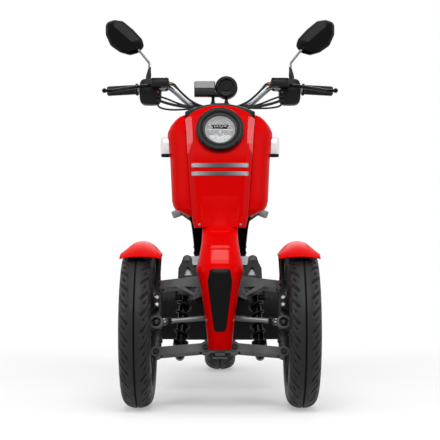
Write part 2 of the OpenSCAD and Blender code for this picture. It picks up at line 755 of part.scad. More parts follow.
module swingarm() {
    boss_r = 16;
    lug_x = arm_in + 7;
    color(grey) {
        pair() {
            side_plate(arm_in, arm_in + arm_t) {
                translate([Y(pivot_s), pivot_z]) circle(20);
                translate([rear_y, rear_r]) circle(27);
                polygon([[Y(pivot_s), pivot_z - 18], [rear_y, rear_r - 20], [rear_y, rear_r + 22],
                    [Y(pivot_s + 150), pivot_z + 4], [Y(pivot_s), pivot_z + 18]]);
            }
            side_plate(arm_in, lug_x) {
                translate([Y(rear_damper_foot_s), rear_damper_foot_z]) circle(14);
                translate([Y(rear_damper_foot_s) - 14, rear_r]) square([28, rear_damper_foot_z - rear_r]);
            }
            translate([0, Y(rear_damper_foot_s), rear_damper_foot_z])
                along_x(arm_in + 1, rear_damper_x + 12, rear_bolt_r);
            translate([0, rear_y, rear_r]) along_x(rear_hub_hw + 0.5, arm_in + 1, boss_r);
        }
        translate([0, Y(pivot_s), pivot_z]) along_x(-arm_in - arm_t - 4, arm_in + arm_t + 4, pivot_r);
        translate([0, Y(pivot_s + 36), pivot_z - 8]) along_x(-arm_in - 1, arm_in + 1, 10);
        translate([0, rear_y, rear_r]) along_x(-arm_in - arm_t - 9, arm_in + arm_t + 9, rear_axle_d / 2);
    }
}
module rear_dampers() {
    run = [rear_damper_top_s - rear_damper_foot_s, rear_damper_top_z - rear_damper_foot_z];
    color(black) pair() translate([rear_damper_x, Y(rear_damper_foot_s), rear_damper_foot_z])
        rotate([atan2(-run.x, run.y), 0, 0]) rotate(90)
            coil_over(norm(run), 17, 7, 12, rear_bolt_r, 16);
}
module rear_caliper() {
    disc_x = drum_hw + disc_gap;
    slot = 1.5;
    color(black) translate([0, rear_y, rear_r]) difference() {
        translate([disc_x - 6, -112, 34]) cube([arm_in - seat_gap - disc_x + 6, 52, 46]);
        translate([disc_x - slot, 0, 0]) along_x(0, disc_t + 2 * slot, disc_d / 2 + 3);
    }
}
module belly_form(inset, extra) {
    top = floor_z - deck_t - seat_gap + extra;
    hw = floor_hw - 12 - inset;
    bevel = 46;
    s1 = belly_s1 + extra;
    intersection() {
        side_plate(-hw, hw) polygon([[Y(belly_s0 + inset), top], [Y(belly_s0 + inset + 14), 215 + inset],
            [Y(belly_s0 + 72), belly_z + inset], [Y(s1 - 60), belly_z + inset],
            [Y(s1), 215 + inset], [Y(s1), top]]);
        front_plate(Y(belly_s0 - 20), Y(s1 + 20)) polygon([[-hw, top], [-hw, belly_z + bevel],
            [inset * 0.4 - hw + bevel, belly_z + inset], [hw - bevel - inset * 0.4, belly_z + inset],
            [hw, belly_z + bevel], [hw, top]]);
    }
}
module belly_pan() {
    color(black) difference() {
        belly_form(0, 0);
        belly_form(wall_t, 1);
        rod(down_tube[0], down_tube[1], down_tube_r + seat_gap);
    }
}
module battery() {
    hw = rail_x - rail_r - 8;
    s0 = 520;
    s1 = belly_s1 - 70;
    z0 = belly_z + wall_t + seat_gap;
    color(grey) translate([-hw, Y(s0), z0])
        cube([2 * hw, s1 - s0, floor_z - deck_t - 2 * seat_gap - z0]);
}
module footboard() {
    s0 = 398;
    cut = 60;
    ribs = 9;
    mat_s = [452, belly_s1 - 43];
    mat_hw = floor_hw - 6;
    color(black) translate([0, 0, floor_z - deck_t]) {
        linear_extrude(deck_t - mat_t) polygon([[-floor_hw, Y(s0 + cut)], [cut - floor_hw, Y(s0)],
            [floor_hw - cut, Y(s0)], [floor_hw, Y(s0 + cut)],
            [floor_hw, Y(belly_s1)], [-floor_hw, Y(belly_s1)]]);
        difference() {
            translate([-mat_hw, Y(mat_s[0]), deck_t - mat_t - 1])
                cube([2 * mat_hw, mat_s[1] - mat_s[0], mat_t + 1]);
            for (i = [0:ribs]) translate([(i - ribs / 2) * 34 - 6, Y(mat_s[0] + 20), deck_t - mat_t + 1])
                cube([12, mat_s[1] - mat_s[0] - 40, 10]);
        }
    }
}
module seat_tower() {
    hw = 92;
    s0 = wheelbase - 410;
    s1 = wheelbase - 280;
    lean = 22;
    top = tail_z - seat_gap;
    z0 = floor_z - mat_t + seat_gap;
    color(black) difference() {
        side_plate(-hw, hw) polygon([[Y(s0 + lean), z0], [Y(s0), top], [Y(s1), top], [Y(s1), z0]]);
        side_plate(wall_t - hw, hw - wall_t) polygon([[Y(s0 + lean + wall_t), z0 - 1],
            [Y(s0 + wall_t), top + 1], [Y(s1 - wall_t), top + 1], [Y(s1 - wall_t), z0 - 1]]);
        pair() translate([sub_x - sub_r - seat_gap, Y(s1 - 20), sub_z - sub_r - seat_gap])
            cube([2 * (sub_r + seat_gap), 40, 60]);
    }
}

// Closed oval section at one distance along the body, for shapes drawn front to rear
function oval(s, hw, z0, z1, p = 3, n = 32) = [for (i = [0:n - 1]) let (a = -360 * i / n)
    [hw * spread(cos(a), p), -(z0 + z1) / 2 - (z1 - z0) / 2 * spread(sin(a), p), Y(s)]];
module loft_back(form, p = 3, steps = 3) {
    rotate([-90, 0, 0]) loft([for (f = smooth(form, steps)) oval(f[0], f[1], max(f[2], tail_z), f[3], p)]);
}
tail_form = [for (f = [[-400, 72, tail_z, 17], [-350, 108, tail_z, 32], [-230, 132, tail_z, 42],
    [-30, 130, tail_z, 42], [120, 98, 606, 30], [220, 48, 640, 4]])
    [wheelbase + f[0], f[1], f[2], seat_z + f[3]]];
tail_top = seat_z - seat_gap;
hinge_z = seat_z + 4;
hinge_s = wheelbase - 332;
hinge_r = 5;
hinge_hw = 28;
lug_w = 10;
module tail_panels() {
    bay_s = [wheelbase - 292, wheelbase + 5];
    bay_z = tail_z + 6;
    color(red) {
        difference() {
            loft_back(tail_form, 4);
            translate([-300, Y(belly_s1 - 100), tail_top]) cube([600, 900, 200]);
            translate([-bay_hw, Y(bay_s[0]), bay_z]) cube([2 * bay_hw, bay_s[1] - bay_s[0], 300]);
            translate([-hinge_hw - 0.5, Y(hinge_s - 14), hinge_z - 16])
                cube([2 * hinge_hw + 1, 30, 100]);
        }
        pair() side_plate(hinge_hw + 0.5, hinge_hw + lug_w) {
            translate([Y(hinge_s), hinge_z]) circle(9);
            translate([Y(hinge_s) - 9, hinge_z - 18]) square(18);
        }
        translate([0, Y(hinge_s), hinge_z]) along_x(-hinge_hw - lug_w + 1, hinge_hw + lug_w - 1, hinge_r);
    }
}
module seat_base() {
    t = 8;
    s0 = hinge_s + 18;
    s1 = wheelbase + 118;
    color(black) difference() {
        union() {
            translate([0, 0, seat_z]) linear_extrude(t) polygon([[-70, Y(s0)], [70, Y(s0)],
                [seat_hw - 22, Y(s0 + 110)], [seat_hw - 22, Y(s1 - 120)], [72, Y(s1)], [-72, Y(s1)],
                [22 - seat_hw, Y(s1 - 120)], [22 - seat_hw, Y(s0 + 110)]]);
            translate([-hinge_hw, Y(hinge_s), seat_z]) cube([2 * hinge_hw, s0 - hinge_s + 5, t]);
            translate([0, Y(hinge_s), hinge_z]) along_x(-hinge_hw, hinge_hw, 9);
        }
        translate([0, Y(hinge_s), hinge_z]) along_x(-100, 100, hinge_r + run_gap);
    }
}
module seat_cushion() {
    z0 = seat_z + 8 + seat_gap;
    z1 = z0 + cushion_t;
    low = z0 - cushion_t * 0.5;
    s0 = hinge_s + 20;
    color("#2a2a2c") difference() {
        loft_back([[s0, 66, low + 30, z1 - 26], [s0 + 30, 88, low, z1 - 8],
            [s0 + 150, seat_hw - 4, low, z1 - 14],
            [s0 + 270, seat_hw, low, z1 - 2], [s0 + 380, seat_hw - 26, low, z1 + 2],
            [s0 + 428, 66, low + 26, z1 - 22]], 3.4);
        translate([-300, Y(belly_s1 - 100), z0 - 200]) cube([600, 900, 200]);
    }
}
module tail_lamp() {
    f = tail_form[len(tail_form) - 1];
    s = f[0] + seat_gap;
    color("#b01018") difference() {
        loft_back([[s, f[1] - 2, f[2] + 2, f[3] - 2], [s + 16, f[1] - 12, f[2] + 12, f[3] - 10]], 4, 1);
        translate([-300, Y(wheelbase), tail_top]) cube([600, 900, 200]);
    }
}
plate_z = 540;
guard_hw = 62;
guard_t = 4;
guard_z = sub_z - sub_r - seat_gap;
module rear_mudguard() {
    hw = guard_hw;
    t = guard_t;
    z0 = guard_z;
    s0 = wheelbase + 20;
    holder = [72, 60, 5];
    color(black) {
        side_plate(-hw, hw) polygon([[Y(s0), z0 - t], [Y(s0), z0], [Y(wheelbase + 162), z0],
            [Y(wheelbase + 190), plate_z + 14],
            [Y(tail_s - 3), plate_z - 30], [Y(tail_s - 1), 440], [Y(tail_s - 5), 440],
            [Y(tail_s - 8), plate_z - 34], [Y(wheelbase + 186), plate_z + 8], [Y(wheelbase + 160), z0 - t]]);
        difference() {
            translate([-holder.x, Y(tail_s - holder.z), plate_z - 40])
                cube([2 * holder.x, holder.z, holder.y]);
            for (d = [-1, 1]) translate([d * plate_dx / 2, Y(tail_s - 20), plate_z])
                along_y(0, 40, plate_hole_d / 2);
        }
    }
}
module rear_indicators() {
    s = wheelbase + 220;
    z = 632;
    color("#c8ccd0") pair() {
        bent([[guard_hw + seat_gap, Y(s - 80), guard_z - guard_t / 2],
            [110, Y(s - 80), guard_z - guard_t / 2], [170, Y(s), z]], 6);
        front_plate(Y(s - 14), Y(s + 14)) hull() {
            translate([177, z]) circle(18, $fn = 32);
            translate([193, z]) circle(14, $fn = 32);
        }
    }
}
rack_s = wheelbase + 215;
rack_z = 770;
module grab_rail() {
    x = 80;
    tube_r = 11;
    plate_t = 8;
    foot_x = 60;
    foot_y = Y(rack_s - 70);
    foot_z = tail_top + seat_gap;
    tube_z = rack_z - plate_t / 2;
    color(black) difference() {
        union() {
            pair() bent([[foot_x, foot_y, foot_z], [foot_x, foot_y, foot_z + 14], [x, foot_y + 15, tube_z],
                [x, Y(rack_s + 50), tube_z], [0, Y(rack_s + 50), tube_z]], tube_r);
            translate([-x, Y(rack_s - 42), rack_z - plate_t]) cube([2 * x, 84, plate_t]);
        }
        for (i = [-1, 1]) for (j = [-1, 1])
            translate([i * rack_dx / 2, Y(rack_s) + j * rack_dy / 2, rack_z - 30])
                cylinder(h = 60, d = rack_hole_d);
    }
}

// Steering: stem with pitman arm, handlebar and what it carries
bar_r = bar_d / 2;
bar_s = head_u * cos(rake) + bar_w * sin(rake);
bar_bend = [154, Y(bar_s + 18), 976];
bar_end = [grip_end_x, Y(bar_s + 68), grip_z];
bar_dir = (bar_end - bar_bend) / norm(bar_end - bar_bend);
clamp_hw = 30;
clamp_r = 20;
function on_bar(x) = bar_bend + bar_dir * ((x - bar_bend.x) / bar_dir.x);

module steering_column() {
    arm_hw = pitman_x + stud_eye_r;
    color(grey) difference() {
        raked() translate([0, head_u, 0]) {
            translate([0, 0, pitman_w]) cylinder(h = bar_w - pitman_w, d = stem_d);
            translate([0, 0, pitman_w]) linear_extrude(pitman_t)
                polygon([[-20, 6], [20, 6], [arm_hw, -steer_arm - 10], [-arm_hw, -steer_arm - 10]]);
            pair() translate([pitman_x, -steer_arm, tie_in.z - 10])
                cylinder(h = pitman_w - tie_in.z + 11, r = stud_r);
            translate([0, 0, head_high + 1]) cylinder(h = 14, d = head_d);
            translate([0, 0, bar_w]) along_x(-clamp_hw, clamp_hw, clamp_r);
        }
        translate([0, Y(bar_s), bar_z]) along_x(-100, 100, bar_r + seat_gap);
    }
}
module handlebar() {
    half = [each smooth([[34, Y(bar_s), bar_z], [60, Y(bar_s), bar_z], [95, Y(bar_s + 3), bar_z + 17],
        bar_bend, on_bar(172)], 3), bar_end];
    n = len(half) - 1;
    whole = [for (i = [n:-1:0]) [-half[i].x, half[i].y, half[i].z], each half];
    color(silver) loft(sweep_rings(whole, bar_r, 20));
}
module grips() {
    flange_t = 6;
    a = bar_end - grip_l * bar_dir;
    color(black) pair() difference() {
        union() {
            rod(a, bar_end + 4 * bar_dir, grip_d / 2);
            rod(a, a + flange_t * bar_dir, grip_d / 2 + 4);
            rod(bar_end - 2 * bar_dir, bar_end + 4 * bar_dir, grip_d / 2 + 1.5);
        }
        rod(a - bar_dir, bar_end + seat_gap * bar_dir, bar_r + seat_gap);
    }
}
module control_pods() {
    x = [201, 242];
    z = [945, 992];
    r = 14;
    y = on_bar(220).y;
    color(black) pair() {
        difference() {
            front_plate(y - 18, y + 28) hull() for (i = x) for (k = z) translate([i, k]) circle(r, $fn = 32);
            rod(on_bar(170), on_bar(280), bar_r + seat_gap);
        }
        front_plate(y - 58, y - 18 - seat_gap) hull() for (i = [172, 208]) for (k = [997, 1004])
            translate([i, k]) circle(9, $fn = 32);
    }
}
lever_r = 5.5;
lever_ball_r = 8;
module brake_levers() {
    y = on_bar(220).y;
    ball = [368, on_bar(368).y - 38, 969];
    top_z = 988 - lever_r - seat_gap;
    blade = smooth([[190, y - 40, top_z], [252, y - 52, 975], [ball.x - 30, ball.y, ball.z],
        ball - [lever_ball_r, 0, 0]], 3);
    steps = 6;
    knob = [for (i = [1:steps]) let (a = 180 * i / steps) [-lever_ball_r * cos(a), lever_ball_r * sin(a)]];
    color(silver) pair() loft(sweep_rings([each blade, for (k = knob) ball + [k.x, 0, 0]], [
        for (b = blade) lever_r, for (k = knob) max(k.y, 1.5)], 12));
}
mirror_y = on_bar(228).y + 5;
module mirror_outline(inset, y0, y1) {
    front_plate(y0, y1) hull() for (p = [[264, 1120], [290, 1108], [342, 1134], [350, 1179.9], [316, 1178]])
        translate(p) circle(18 - inset, $fn = 32);
}
module mirrors() {
    color(black) pair() {
        bent([[229, mirror_y, 1006 + seat_gap], [224, mirror_y, 1054], [270, mirror_y - 4, 1112],
            [290, mirror_y - 4, 1135]], 5);
        hull() {
            mirror_outline(0, mirror_y + 2, mirror_y + 12);
            mirror_outline(12, mirror_y - 18, mirror_y);
        }
    }
}
module mirror_glasses() {
    color(clear) pair() mirror_outline(5, mirror_y + 12 + seat_gap, mirror_y + 14);
}
module instrument() {
    y = Y(bar_s);
    leg_z = bar_z + clamp_r + seat_gap;
    gauge = [20, 979, 35];
    base_z = 949;
    color(black) {
        translate([-81, y - 22, base_z]) cube([66, 40, 50]);
        translate([gauge.x, 0, gauge.y]) along_y(y - 20, y + 22, gauge.z);
        translate([-40, y - 12, base_z]) cube([80, 26, 22]);
        for (x = [-22, 20]) translate([x, y, leg_z]) cylinder(h = base_z - leg_z + 6, r = 5);
    }
}

// Cable swept along its route with a round section
function unit(v) = v / norm(v);
function sweep_rings(p, r, n = 8) = [for (i = [0:len(p) - 1])
    let (t = unit(p[min(i + 1, len(p) - 1)] - p[max(i - 1, 0)]),
        a = unit(cross([0, 1, 0.15], t)), b = cross(t, a))
    [for (j = [0:n - 1]) p[i] + (is_list(r) ? r[i] : r) * (cos(360 * j / n) * a + sin(360 * j / n) * b)]];
cable_r = 3;
cable_left = [[196, 20, 930], [188, 8, 916], [152, -6, 908], [98, -20, 906], [52, -28, 907], [27, -27, 902],
    [15, -24, 893]];
cable_right = [[-196, 20, 930], [-192, 8, 913], [-156, -6, 903], [-98, -20, 903], [-52, -28, 906],
    [-27, -27, 902], [-15, -24, 893]];
module cables() {
    color(black) for (route = [cable_left, cable_right])
        loft(sweep_rings(smooth([for (p = route) [p.x, Y(bar_s) + p.y, p.z]], 4), cable_r));
}

main_frame();
suspension_post();
upper_arms();
lower_arms();
kingpins();
pivot_pins();
front_dampers();
nose_cover();
nose_inlay();
front_panel();
side_panels();
panel_strips();
headlight_bezel();
headlight_lamp();
headlight_lens();
front_indicators();
leg_shield();
top_cowl();
footboard();
belly_pan();
battery();
seat_tower();
tail_panels();
tail_lamp();
rear_indicators();
rear_mudguard();
grab_rail();
swingarm();
rear_dampers();
rear_caliper();
seat_base();
seat_cushion();
steering_column();
handlebar();
grips();
control_pods();
brake_levers();
mirrors();
mirror_glasses();
instrument();
cables();
knuckle_left();
knuckle_right();
fender_left();
fender_right();
caliper_left();
caliper_right();
tie_rod_left();
tie_rod_right();
tyre_left();
tyre_right();
rim_left();
rim_right();
tyre_rear();
rim_rear();
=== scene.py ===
# %% [markdown]
# # Electric scooter with two front wheels
# The solids of the scooter are already there as a fixed frame: each has its place and its joint. This
# lesson dresses them. It draws what a lathe or a mould leaves on the real machine, in millimetres, and
# hangs each piece on the body that carries it.

# %% Load the frame
import math

import bpy
import numpy as np
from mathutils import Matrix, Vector
from mathutils.bvhtree import BVHTree


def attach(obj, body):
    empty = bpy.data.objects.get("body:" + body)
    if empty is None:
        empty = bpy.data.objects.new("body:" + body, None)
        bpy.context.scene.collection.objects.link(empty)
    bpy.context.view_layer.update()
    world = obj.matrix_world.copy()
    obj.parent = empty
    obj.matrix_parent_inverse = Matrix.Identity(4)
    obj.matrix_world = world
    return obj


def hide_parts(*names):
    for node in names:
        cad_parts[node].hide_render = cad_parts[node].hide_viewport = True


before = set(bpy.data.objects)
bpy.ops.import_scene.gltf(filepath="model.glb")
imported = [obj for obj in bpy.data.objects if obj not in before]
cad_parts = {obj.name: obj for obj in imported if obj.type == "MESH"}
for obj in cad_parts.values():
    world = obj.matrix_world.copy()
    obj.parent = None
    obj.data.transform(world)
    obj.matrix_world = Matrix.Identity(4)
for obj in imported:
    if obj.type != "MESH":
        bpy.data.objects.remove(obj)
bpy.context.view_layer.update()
scene = bpy.context.scene

# %% [markdown]
# ## The camera
# The scooter is seen straight from the front, from just below the tops of its front tyres, with a long
# lens. A picture edge of 440 pixels and a focal length of 1229 pixels give a 101 mm lens on a 36 mm sensor.
# The camera tips up a little instead of using a lens shift, so other views stay centred.

# %% Camera
FRONT_Y, FRONT_R = -666.5, 233.5
WHEELBASE, TRACK_X = 1280.0, 237.0
EYE_AHEAD, EYE_Z, EYE_TIP = 3600.0, 426, 1.92
FOCAL_PX, PICTURE_PX = 1229, 440
eye = bpy.data.cameras.new("eye")
eye.lens = FOCAL_PX / PICTURE_PX * eye.sensor_width
camera = bpy.data.objects.new("eye", eye)
camera.location = (0, (FRONT_Y - EYE_AHEAD) / 1000, EYE_Z / 1000)
camera.rotation_euler = (math.radians(90 + EYE_TIP), 0, 0)
scene.collection.objects.link(camera)
scene.camera = camera
print("lens", round(eye.lens, 1), "mm")

# %% [markdown]
# ## Tools for drawing
# Every piece is a mesh written in millimetres, in the frame's axes: x to the rider's left, y to the rear,
# z up. One function turns rows of points into a skin, because a loft of rings is how a moulded shell, a
# bent tube and a tyre are all described. A small rounded edge is left to a bevel, as the mould leaves it.

# %% Pieces
ACROSS = Vector((1, 0, 0))
HEX = 6


def Y(s):
    """Distance along the frame for a point s behind the front axle."""
    return FRONT_Y + s


def mm_mesh(name, points, faces):
    """A mesh from points in millimetres."""
    mesh = bpy.data.meshes.new(name)
    mesh.from_pydata([tuple(float(c) / 1000 for c in p) for p in points], [], faces)
    mesh.validate()
    return mesh


def rounded(obj, width_mm, angle):
    """Gives the sharp edges of a piece a small bevel."""
    soft = obj.modifiers.new("rounded_edge", "BEVEL")
    soft.width = width_mm / 1000
    soft.segments = 2
    soft.limit_method = "ANGLE"
    soft.angle_limit = math.radians(angle)


def applied(obj):
    """The mesh of an object with its modifiers worked in."""
    return bpy.data.meshes.new_from_object(obj.evaluated_get(bpy.context.evaluated_depsgraph_get()))


def piece(name, points, faces, finish, body, slot=None, replaces=(), round_mm=0.0, angle=35):
    """One mesh in millimetres that rides a body and may stand for solids of the frame."""
    mesh = mm_mesh(name, points, faces)
    mesh.materials.append(finish)
    mesh.shade_smooth()
    mesh.set_sharp_from_angle(angle=math.radians(angle))
    obj = bpy.data.objects.new(name, mesh)
    scene.collection.objects.link(obj)
    if round_mm:
        rounded(obj, round_mm, angle)
    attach(obj, body)
    if replaces:
        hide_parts(*replaces)
    return obj


print("the front axle lies at y =", Y(0), "mm, the rear one at", Y(WHEELBASE), "mm")

# %% [markdown]
# A skin is a list of points and a list of faces. Skins can be added up into one mesh, mirrored to the other
# side, and closed into a ring, as a tyre is.

# %% Skins
def skin(rings, caps=True):
    """Points and faces of a surface through rings that all have the same number of points."""
    rows, count = len(rings), len(rings[0])
    points = [p for ring in rings for p in ring]
    faces = [(i * count + j, i * count + (j + 1) % count,
              (i + 1) * count + (j + 1) % count, (i + 1) * count + j)
             for i in range(rows - 1) for j in range(count)]
    if caps:
        faces += [tuple(range(count - 1, -1, -1)), tuple((rows - 1) * count + j for j in range(count))]
    return points, faces


def several(parts):
    """Points and faces of several skins in one mesh."""
    points, faces = [], []
    for p, f in parts:
        shift = len(points)
        points += list(p)
        faces += [tuple(i + shift for i in face) for face in f]
    return points, faces


def mirrored(part):
    """The same skin on the other side of the middle plane."""
    points, faces = part
    return [(-p[0], p[1], p[2]) for p in points], [tuple(reversed(f)) for f in faces]


def both(part):
    """A skin and its mirror image in one mesh."""
    return several([part, mirrored(part)])


def joined(rings):
    """Points and faces of a surface through rings that closes on its first ring."""
    points, faces = skin(rings + [rings[0]], caps=False)
    keep = len(points) - len(rings[0])
    return points[:keep], [tuple(i % keep for i in face) for face in faces]


print("a prism through two triangles has", len(skin([[(0, 0, z)] * 3 for z in (0, 1)])[1]), "faces")

# %% [markdown]
# Tubes and turned parts are what a workshop makes most. A tube follows a path and carries its circle along
# without twisting it. A turned part is a profile spun about an axis, as on a lathe.

# %% Tubes and turned parts
def smooth(rows, steps):
    """Rows of numbers run through by one smooth curve, steps to a span."""
    p = np.array(rows, float)
    out = []
    for i in range(len(p) - 1):
        a, b, c, d = p[max(i - 1, 0)], p[i], p[i + 1], p[min(i + 2, len(p) - 1)]
        for t in np.arange(steps) / steps:
            out.append(0.5 * (2 * b + (c - a) * t + (2 * a - 5 * b + 4 * c - d) * t * t
                              + (3 * b - a - 3 * c + d) * t ** 3))
    return np.array(out + [p[-1]])


def bulge(c, p):
    """Sine or cosine flattened towards a box, for rounded oblongs."""
    return math.copysign(abs(c) ** (2 / p), c)


def tube(path, radius, sides=16, caps=True):
    """A round tube along points."""
    path = np.array(path, float)
    rings, across = [], None
    for i, p in enumerate(path):
        t = path[min(i + 1, len(path) - 1)] - path[max(i - 1, 0)]
        t /= np.linalg.norm(t)
        if across is None:
            across = np.cross(t, (0.0, 0.0, 1.0) if abs(t[2]) < 0.9 else (0.0, 1.0, 0.0))
        across = across - t * across.dot(t)
        across /= np.linalg.norm(across)
        up = np.cross(t, across)
        turn = np.arange(sides) * 2 * math.pi / sides
        rings.append([tuple(p + radius * (math.cos(a) * across + math.sin(a) * up)) for a in turn])
    return skin(rings, caps)


def turned(profile, at, axis, sides=48, spin=0.0, ring=False):
    """A turned part: rows of (radius, distance along the axis), from a point, about an axis.

    A ring closes its profile on itself and stays open in the middle."""
    profile = list(profile) + [profile[0]] * ring
    axis = Vector(axis).normalized()
    turn = axis.to_track_quat("Z", "Y").to_matrix()
    rings = []
    for r, h in profile:
        rings.append([tuple(Vector(at) + turn @ Vector((r * math.cos(a + spin), r * math.sin(a + spin), h)))
                      for a in np.arange(sides) * 2 * math.pi / sides])
    return skin(rings, not ring)


print("a plain disc of six sides has", len(turned([(1, 0), (1, 1)], (0, 0, 0), ACROSS, HEX)[1]), "faces")

# %% [markdown]
# The front wheels steer on kingpins that lean back by 20 degrees. What hangs on them is easier to place along
# and across the kingpins than upright, so one function turns such a place into the frame's axes.

# %% The leaning front linkage
RAKE = math.radians(20)
BOX_FACES = [(3, 2, 1, 0), (4, 5, 6, 7), (0, 1, 5, 4), (1, 2, 6, 5), (2, 3, 7, 6), (3, 0, 4, 7)]


def raked(x, u, w):
    """A point of the front linkage, given behind (u) and along (w) the leaning kingpins."""
    return (x, FRONT_Y + u * math.cos(RAKE) + w * math.sin(RAKE),
            FRONT_R + w * math.cos(RAKE) - u * math.sin(RAKE))


RAKED_U = Vector(raked(0, 1, 0)) - Vector(raked(0, 0, 0))
RAKED_W = Vector(raked(0, 0, 1)) - Vector(raked(0, 0, 0))
print("the kingpins lean back along", [round(v, 3) for v in RAKED_W])

# %% [markdown]
# ## Finishes
# A finish is what the real surface is made of and how that was done: sprayed lacquer, moulded plastic,
# cast aluminium, chrome. Each gets its own cloud of tone, its own grain as bump and its own gloss. They all
# share one recipe, a broad noise for tone and gloss and a fine one for relief, because that is what most
# workshop surfaces show. Sizes are given in millimetres; a grain finer than a picture point is drawn
# coarser so that it shows.

# %% Finish recipe
def linear(code):
    """An sRGB hex colour as the linear values that the shaders work in."""
    parts = [int(code[i:i + 2], 16) / 255 for i in (1, 3, 5)]
    return tuple(c / 12.92 if c <= 0.04045 else ((c + 0.055) / 1.055) ** 2.4 for c in parts) + (1.0,)


def add(tree, kind, inputs=(), **settings):
    """One node with its settings; an input is a number, a colour or another node's output."""
    new = tree.nodes.new(kind)
    for key, value in settings.items():
        setattr(new, key, value)
    for socket, value in dict(inputs).items():
        if isinstance(value, bpy.types.NodeSocket):
            tree.links.new(value, new.inputs[socket])
        else:
            new.inputs[socket].default_value = value
    return new


def finish(name, tone, shade, rough, metal=0.0, cloud_mm=60, grain_mm=3, relief_mm=0.03, polish=0.06,
           stretch=(1, 1, 1), cells=False, ends=None, **sockets):
    """A surface whose tone and gloss drift over cloud_mm and whose grain stands relief_mm high.

    With ends, a tone and a distance in mm, it grows towards that tone away from the middle of the scooter, as
    a painted reflection."""
    material = bpy.data.materials.new(name)
    material.use_nodes = True
    tree = material.node_tree
    tree.nodes.clear()
    where = add(tree, "ShaderNodeTexCoord").outputs["Object"]
    place = add(tree, "ShaderNodeMapping", {"Vector": where, "Scale": stretch}).outputs[0]
    cloud = add(tree, "ShaderNodeTexNoise",
                {"Vector": place, "Scale": 1000 / cloud_mm, "Detail": 5.0}).outputs[0]
    if cells:
        fine = add(tree, "ShaderNodeTexVoronoi", {"Vector": place, "Scale": 1000 / grain_mm},
                   feature="SMOOTH_F1").outputs["Distance"]
    else:
        fine = add(tree, "ShaderNodeTexNoise",
                   {"Vector": place, "Scale": 1000 / grain_mm, "Detail": 3.0}).outputs[0]
    grain = add(tree, "ShaderNodeMath", {0: fine, 1: 0.2}, operation="MULTIPLY").outputs[0]
    mixed = add(tree, "ShaderNodeMath", {0: cloud, 1: fine, 2: grain}, operation="MULTIPLY_ADD")
    colour = add(tree, "ShaderNodeMix", {0: mixed.outputs[0], 6: linear(shade), 7: linear(tone)},
                 data_type="RGBA")
    # Lighter away from the middle of the scooter: a painted reflection.
    if ends:
        across = add(tree, "ShaderNodeSeparateXYZ", {"Vector": where}).outputs["X"]
        far = add(tree, "ShaderNodeMath", {0: across, 1: 1000 / ends[1]}, operation="MULTIPLY").outputs[0]
        far = add(tree, "ShaderNodeMath", {0: far, 1: far}, operation="MULTIPLY").outputs[0]
        colour = add(tree, "ShaderNodeMix", {0: far, 6: colour.outputs[2], 7: linear(ends[0])},
                     data_type="RGBA")
    gloss = add(tree, "ShaderNodeMapRange", {"Value": cloud, "From Min": 0.3, "From Max": 0.7,
                                             "To Min": rough - polish, "To Max": rough + polish})
    bump = add(tree, "ShaderNodeBump", {"Height": fine, "Strength": 0.6, "Distance": relief_mm / 1000})
    body = add(tree, "ShaderNodeBsdfPrincipled", {
        "Base Color": colour.outputs[2], "Roughness": gloss.outputs[0], "Normal": bump.outputs[0],
        "Metallic": metal, **sockets})
    add(tree, "ShaderNodeOutputMaterial", {"Surface": body.outputs[0]})
    return material


print("a middle grey is", round(linear("#808080")[0], 3), "to the shaders")

# %% [markdown]
# Lacquer and plastic differ mostly in gloss. The red is sprayed on moulded ABS, and the black parts show the
# surface of their mould.

# %% Lacquer and plastic
# Sprayed lacquer over moulded ABS: deep red with a soft sheen and a trace of orange peel.
red_lacquer = finish("red_lacquer_sprayed", "#DC0000", "#CE0000", 0.36, cloud_mm=160, grain_mm=6,
                     relief_mm=0.012, polish=0.04, **{"IOR": 1.5, "Specular IOR Level": 0.025})
# A lighter, glossier copy of the same lacquer, a painted highlight on narrow bands of the panel and the nose.
red_painted_highlight = finish("red_lacquer_painted_highlight", "#E80808", "#DE0404", 0.16, cloud_mm=160, grain_mm=6,
                    relief_mm=0.006, polish=0.04,
                    **{"IOR": 1.5, "Specular IOR Level": 0.5, "Coat Weight": 0.8, "Coat Roughness": 0.12})
# A half-strength painted highlight of the same kind, at the ends of such bands.
red_half_highlight = finish("red_lacquer_half_highlight", "#E80404", "#DE0202", 0.22, cloud_mm=160, grain_mm=6,
                  relief_mm=0.006, polish=0.04,
                  **{"IOR": 1.5, "Specular IOR Level": 0.3, "Coat Weight": 0.25, "Coat Roughness": 0.2})
# Moulded ABS with the fine spark-eroded texture of the mould.
black_abs = finish("black_abs_moulded", "#111112", "#09090A", 0.42, grain_mm=2.2, relief_mm=0.05,
                   **{"IOR": 1.53, "Specular IOR Level": 0.16})
# The same plastic from a polished mould, for the inlay, the mirror shells and the instrument.
black_gloss = finish("black_abs_polished", "#0B0B0C", "#060607", 0.22, grain_mm=5, relief_mm=0.008,
                     **{"IOR": 1.53, "Specular IOR Level": 0.08})
# Pale grey plastic of the display's lid and the rear signals' shells.
grey_abs = finish("grey_abs_moulded", "#8B8C8E", "#7A7B7D", 0.45, grain_mm=2.2, relief_mm=0.04,
                  **{"IOR": 1.53})
plastics = (red_lacquer, red_painted_highlight, red_half_highlight, black_abs, black_gloss, grey_abs)
print("lacquer and plastic:", [m.name for m in plastics])

# %% [markdown]
# Metal is told apart by how it was worked: cast, drawn, ground, brushed, plated or painted over.

# %% Metal
# Aluminium cast in sand, shot-blasted and painted dark grey: matt, with small pits.
cast_grey = finish("grey_aluminium_cast", "#434345", "#303032", 0.5, metal=0.25, cloud_mm=35, grain_mm=2.6,
                   relief_mm=0.12, polish=0.09)
# The same casting left bare, for the damper brackets.
cast_bare = finish("aluminium_cast_bare", "#8A8C8E", "#66686A", 0.42, metal=0.6, cloud_mm=25, grain_mm=2.6,
                   relief_mm=0.08)
# And painted black, for the wheels.
wheel_black = finish("aluminium_cast_black", "#2A2A2C", "#1A1A1C", 0.38, metal=0.2, grain_mm=2.4,
                     relief_mm=0.06)
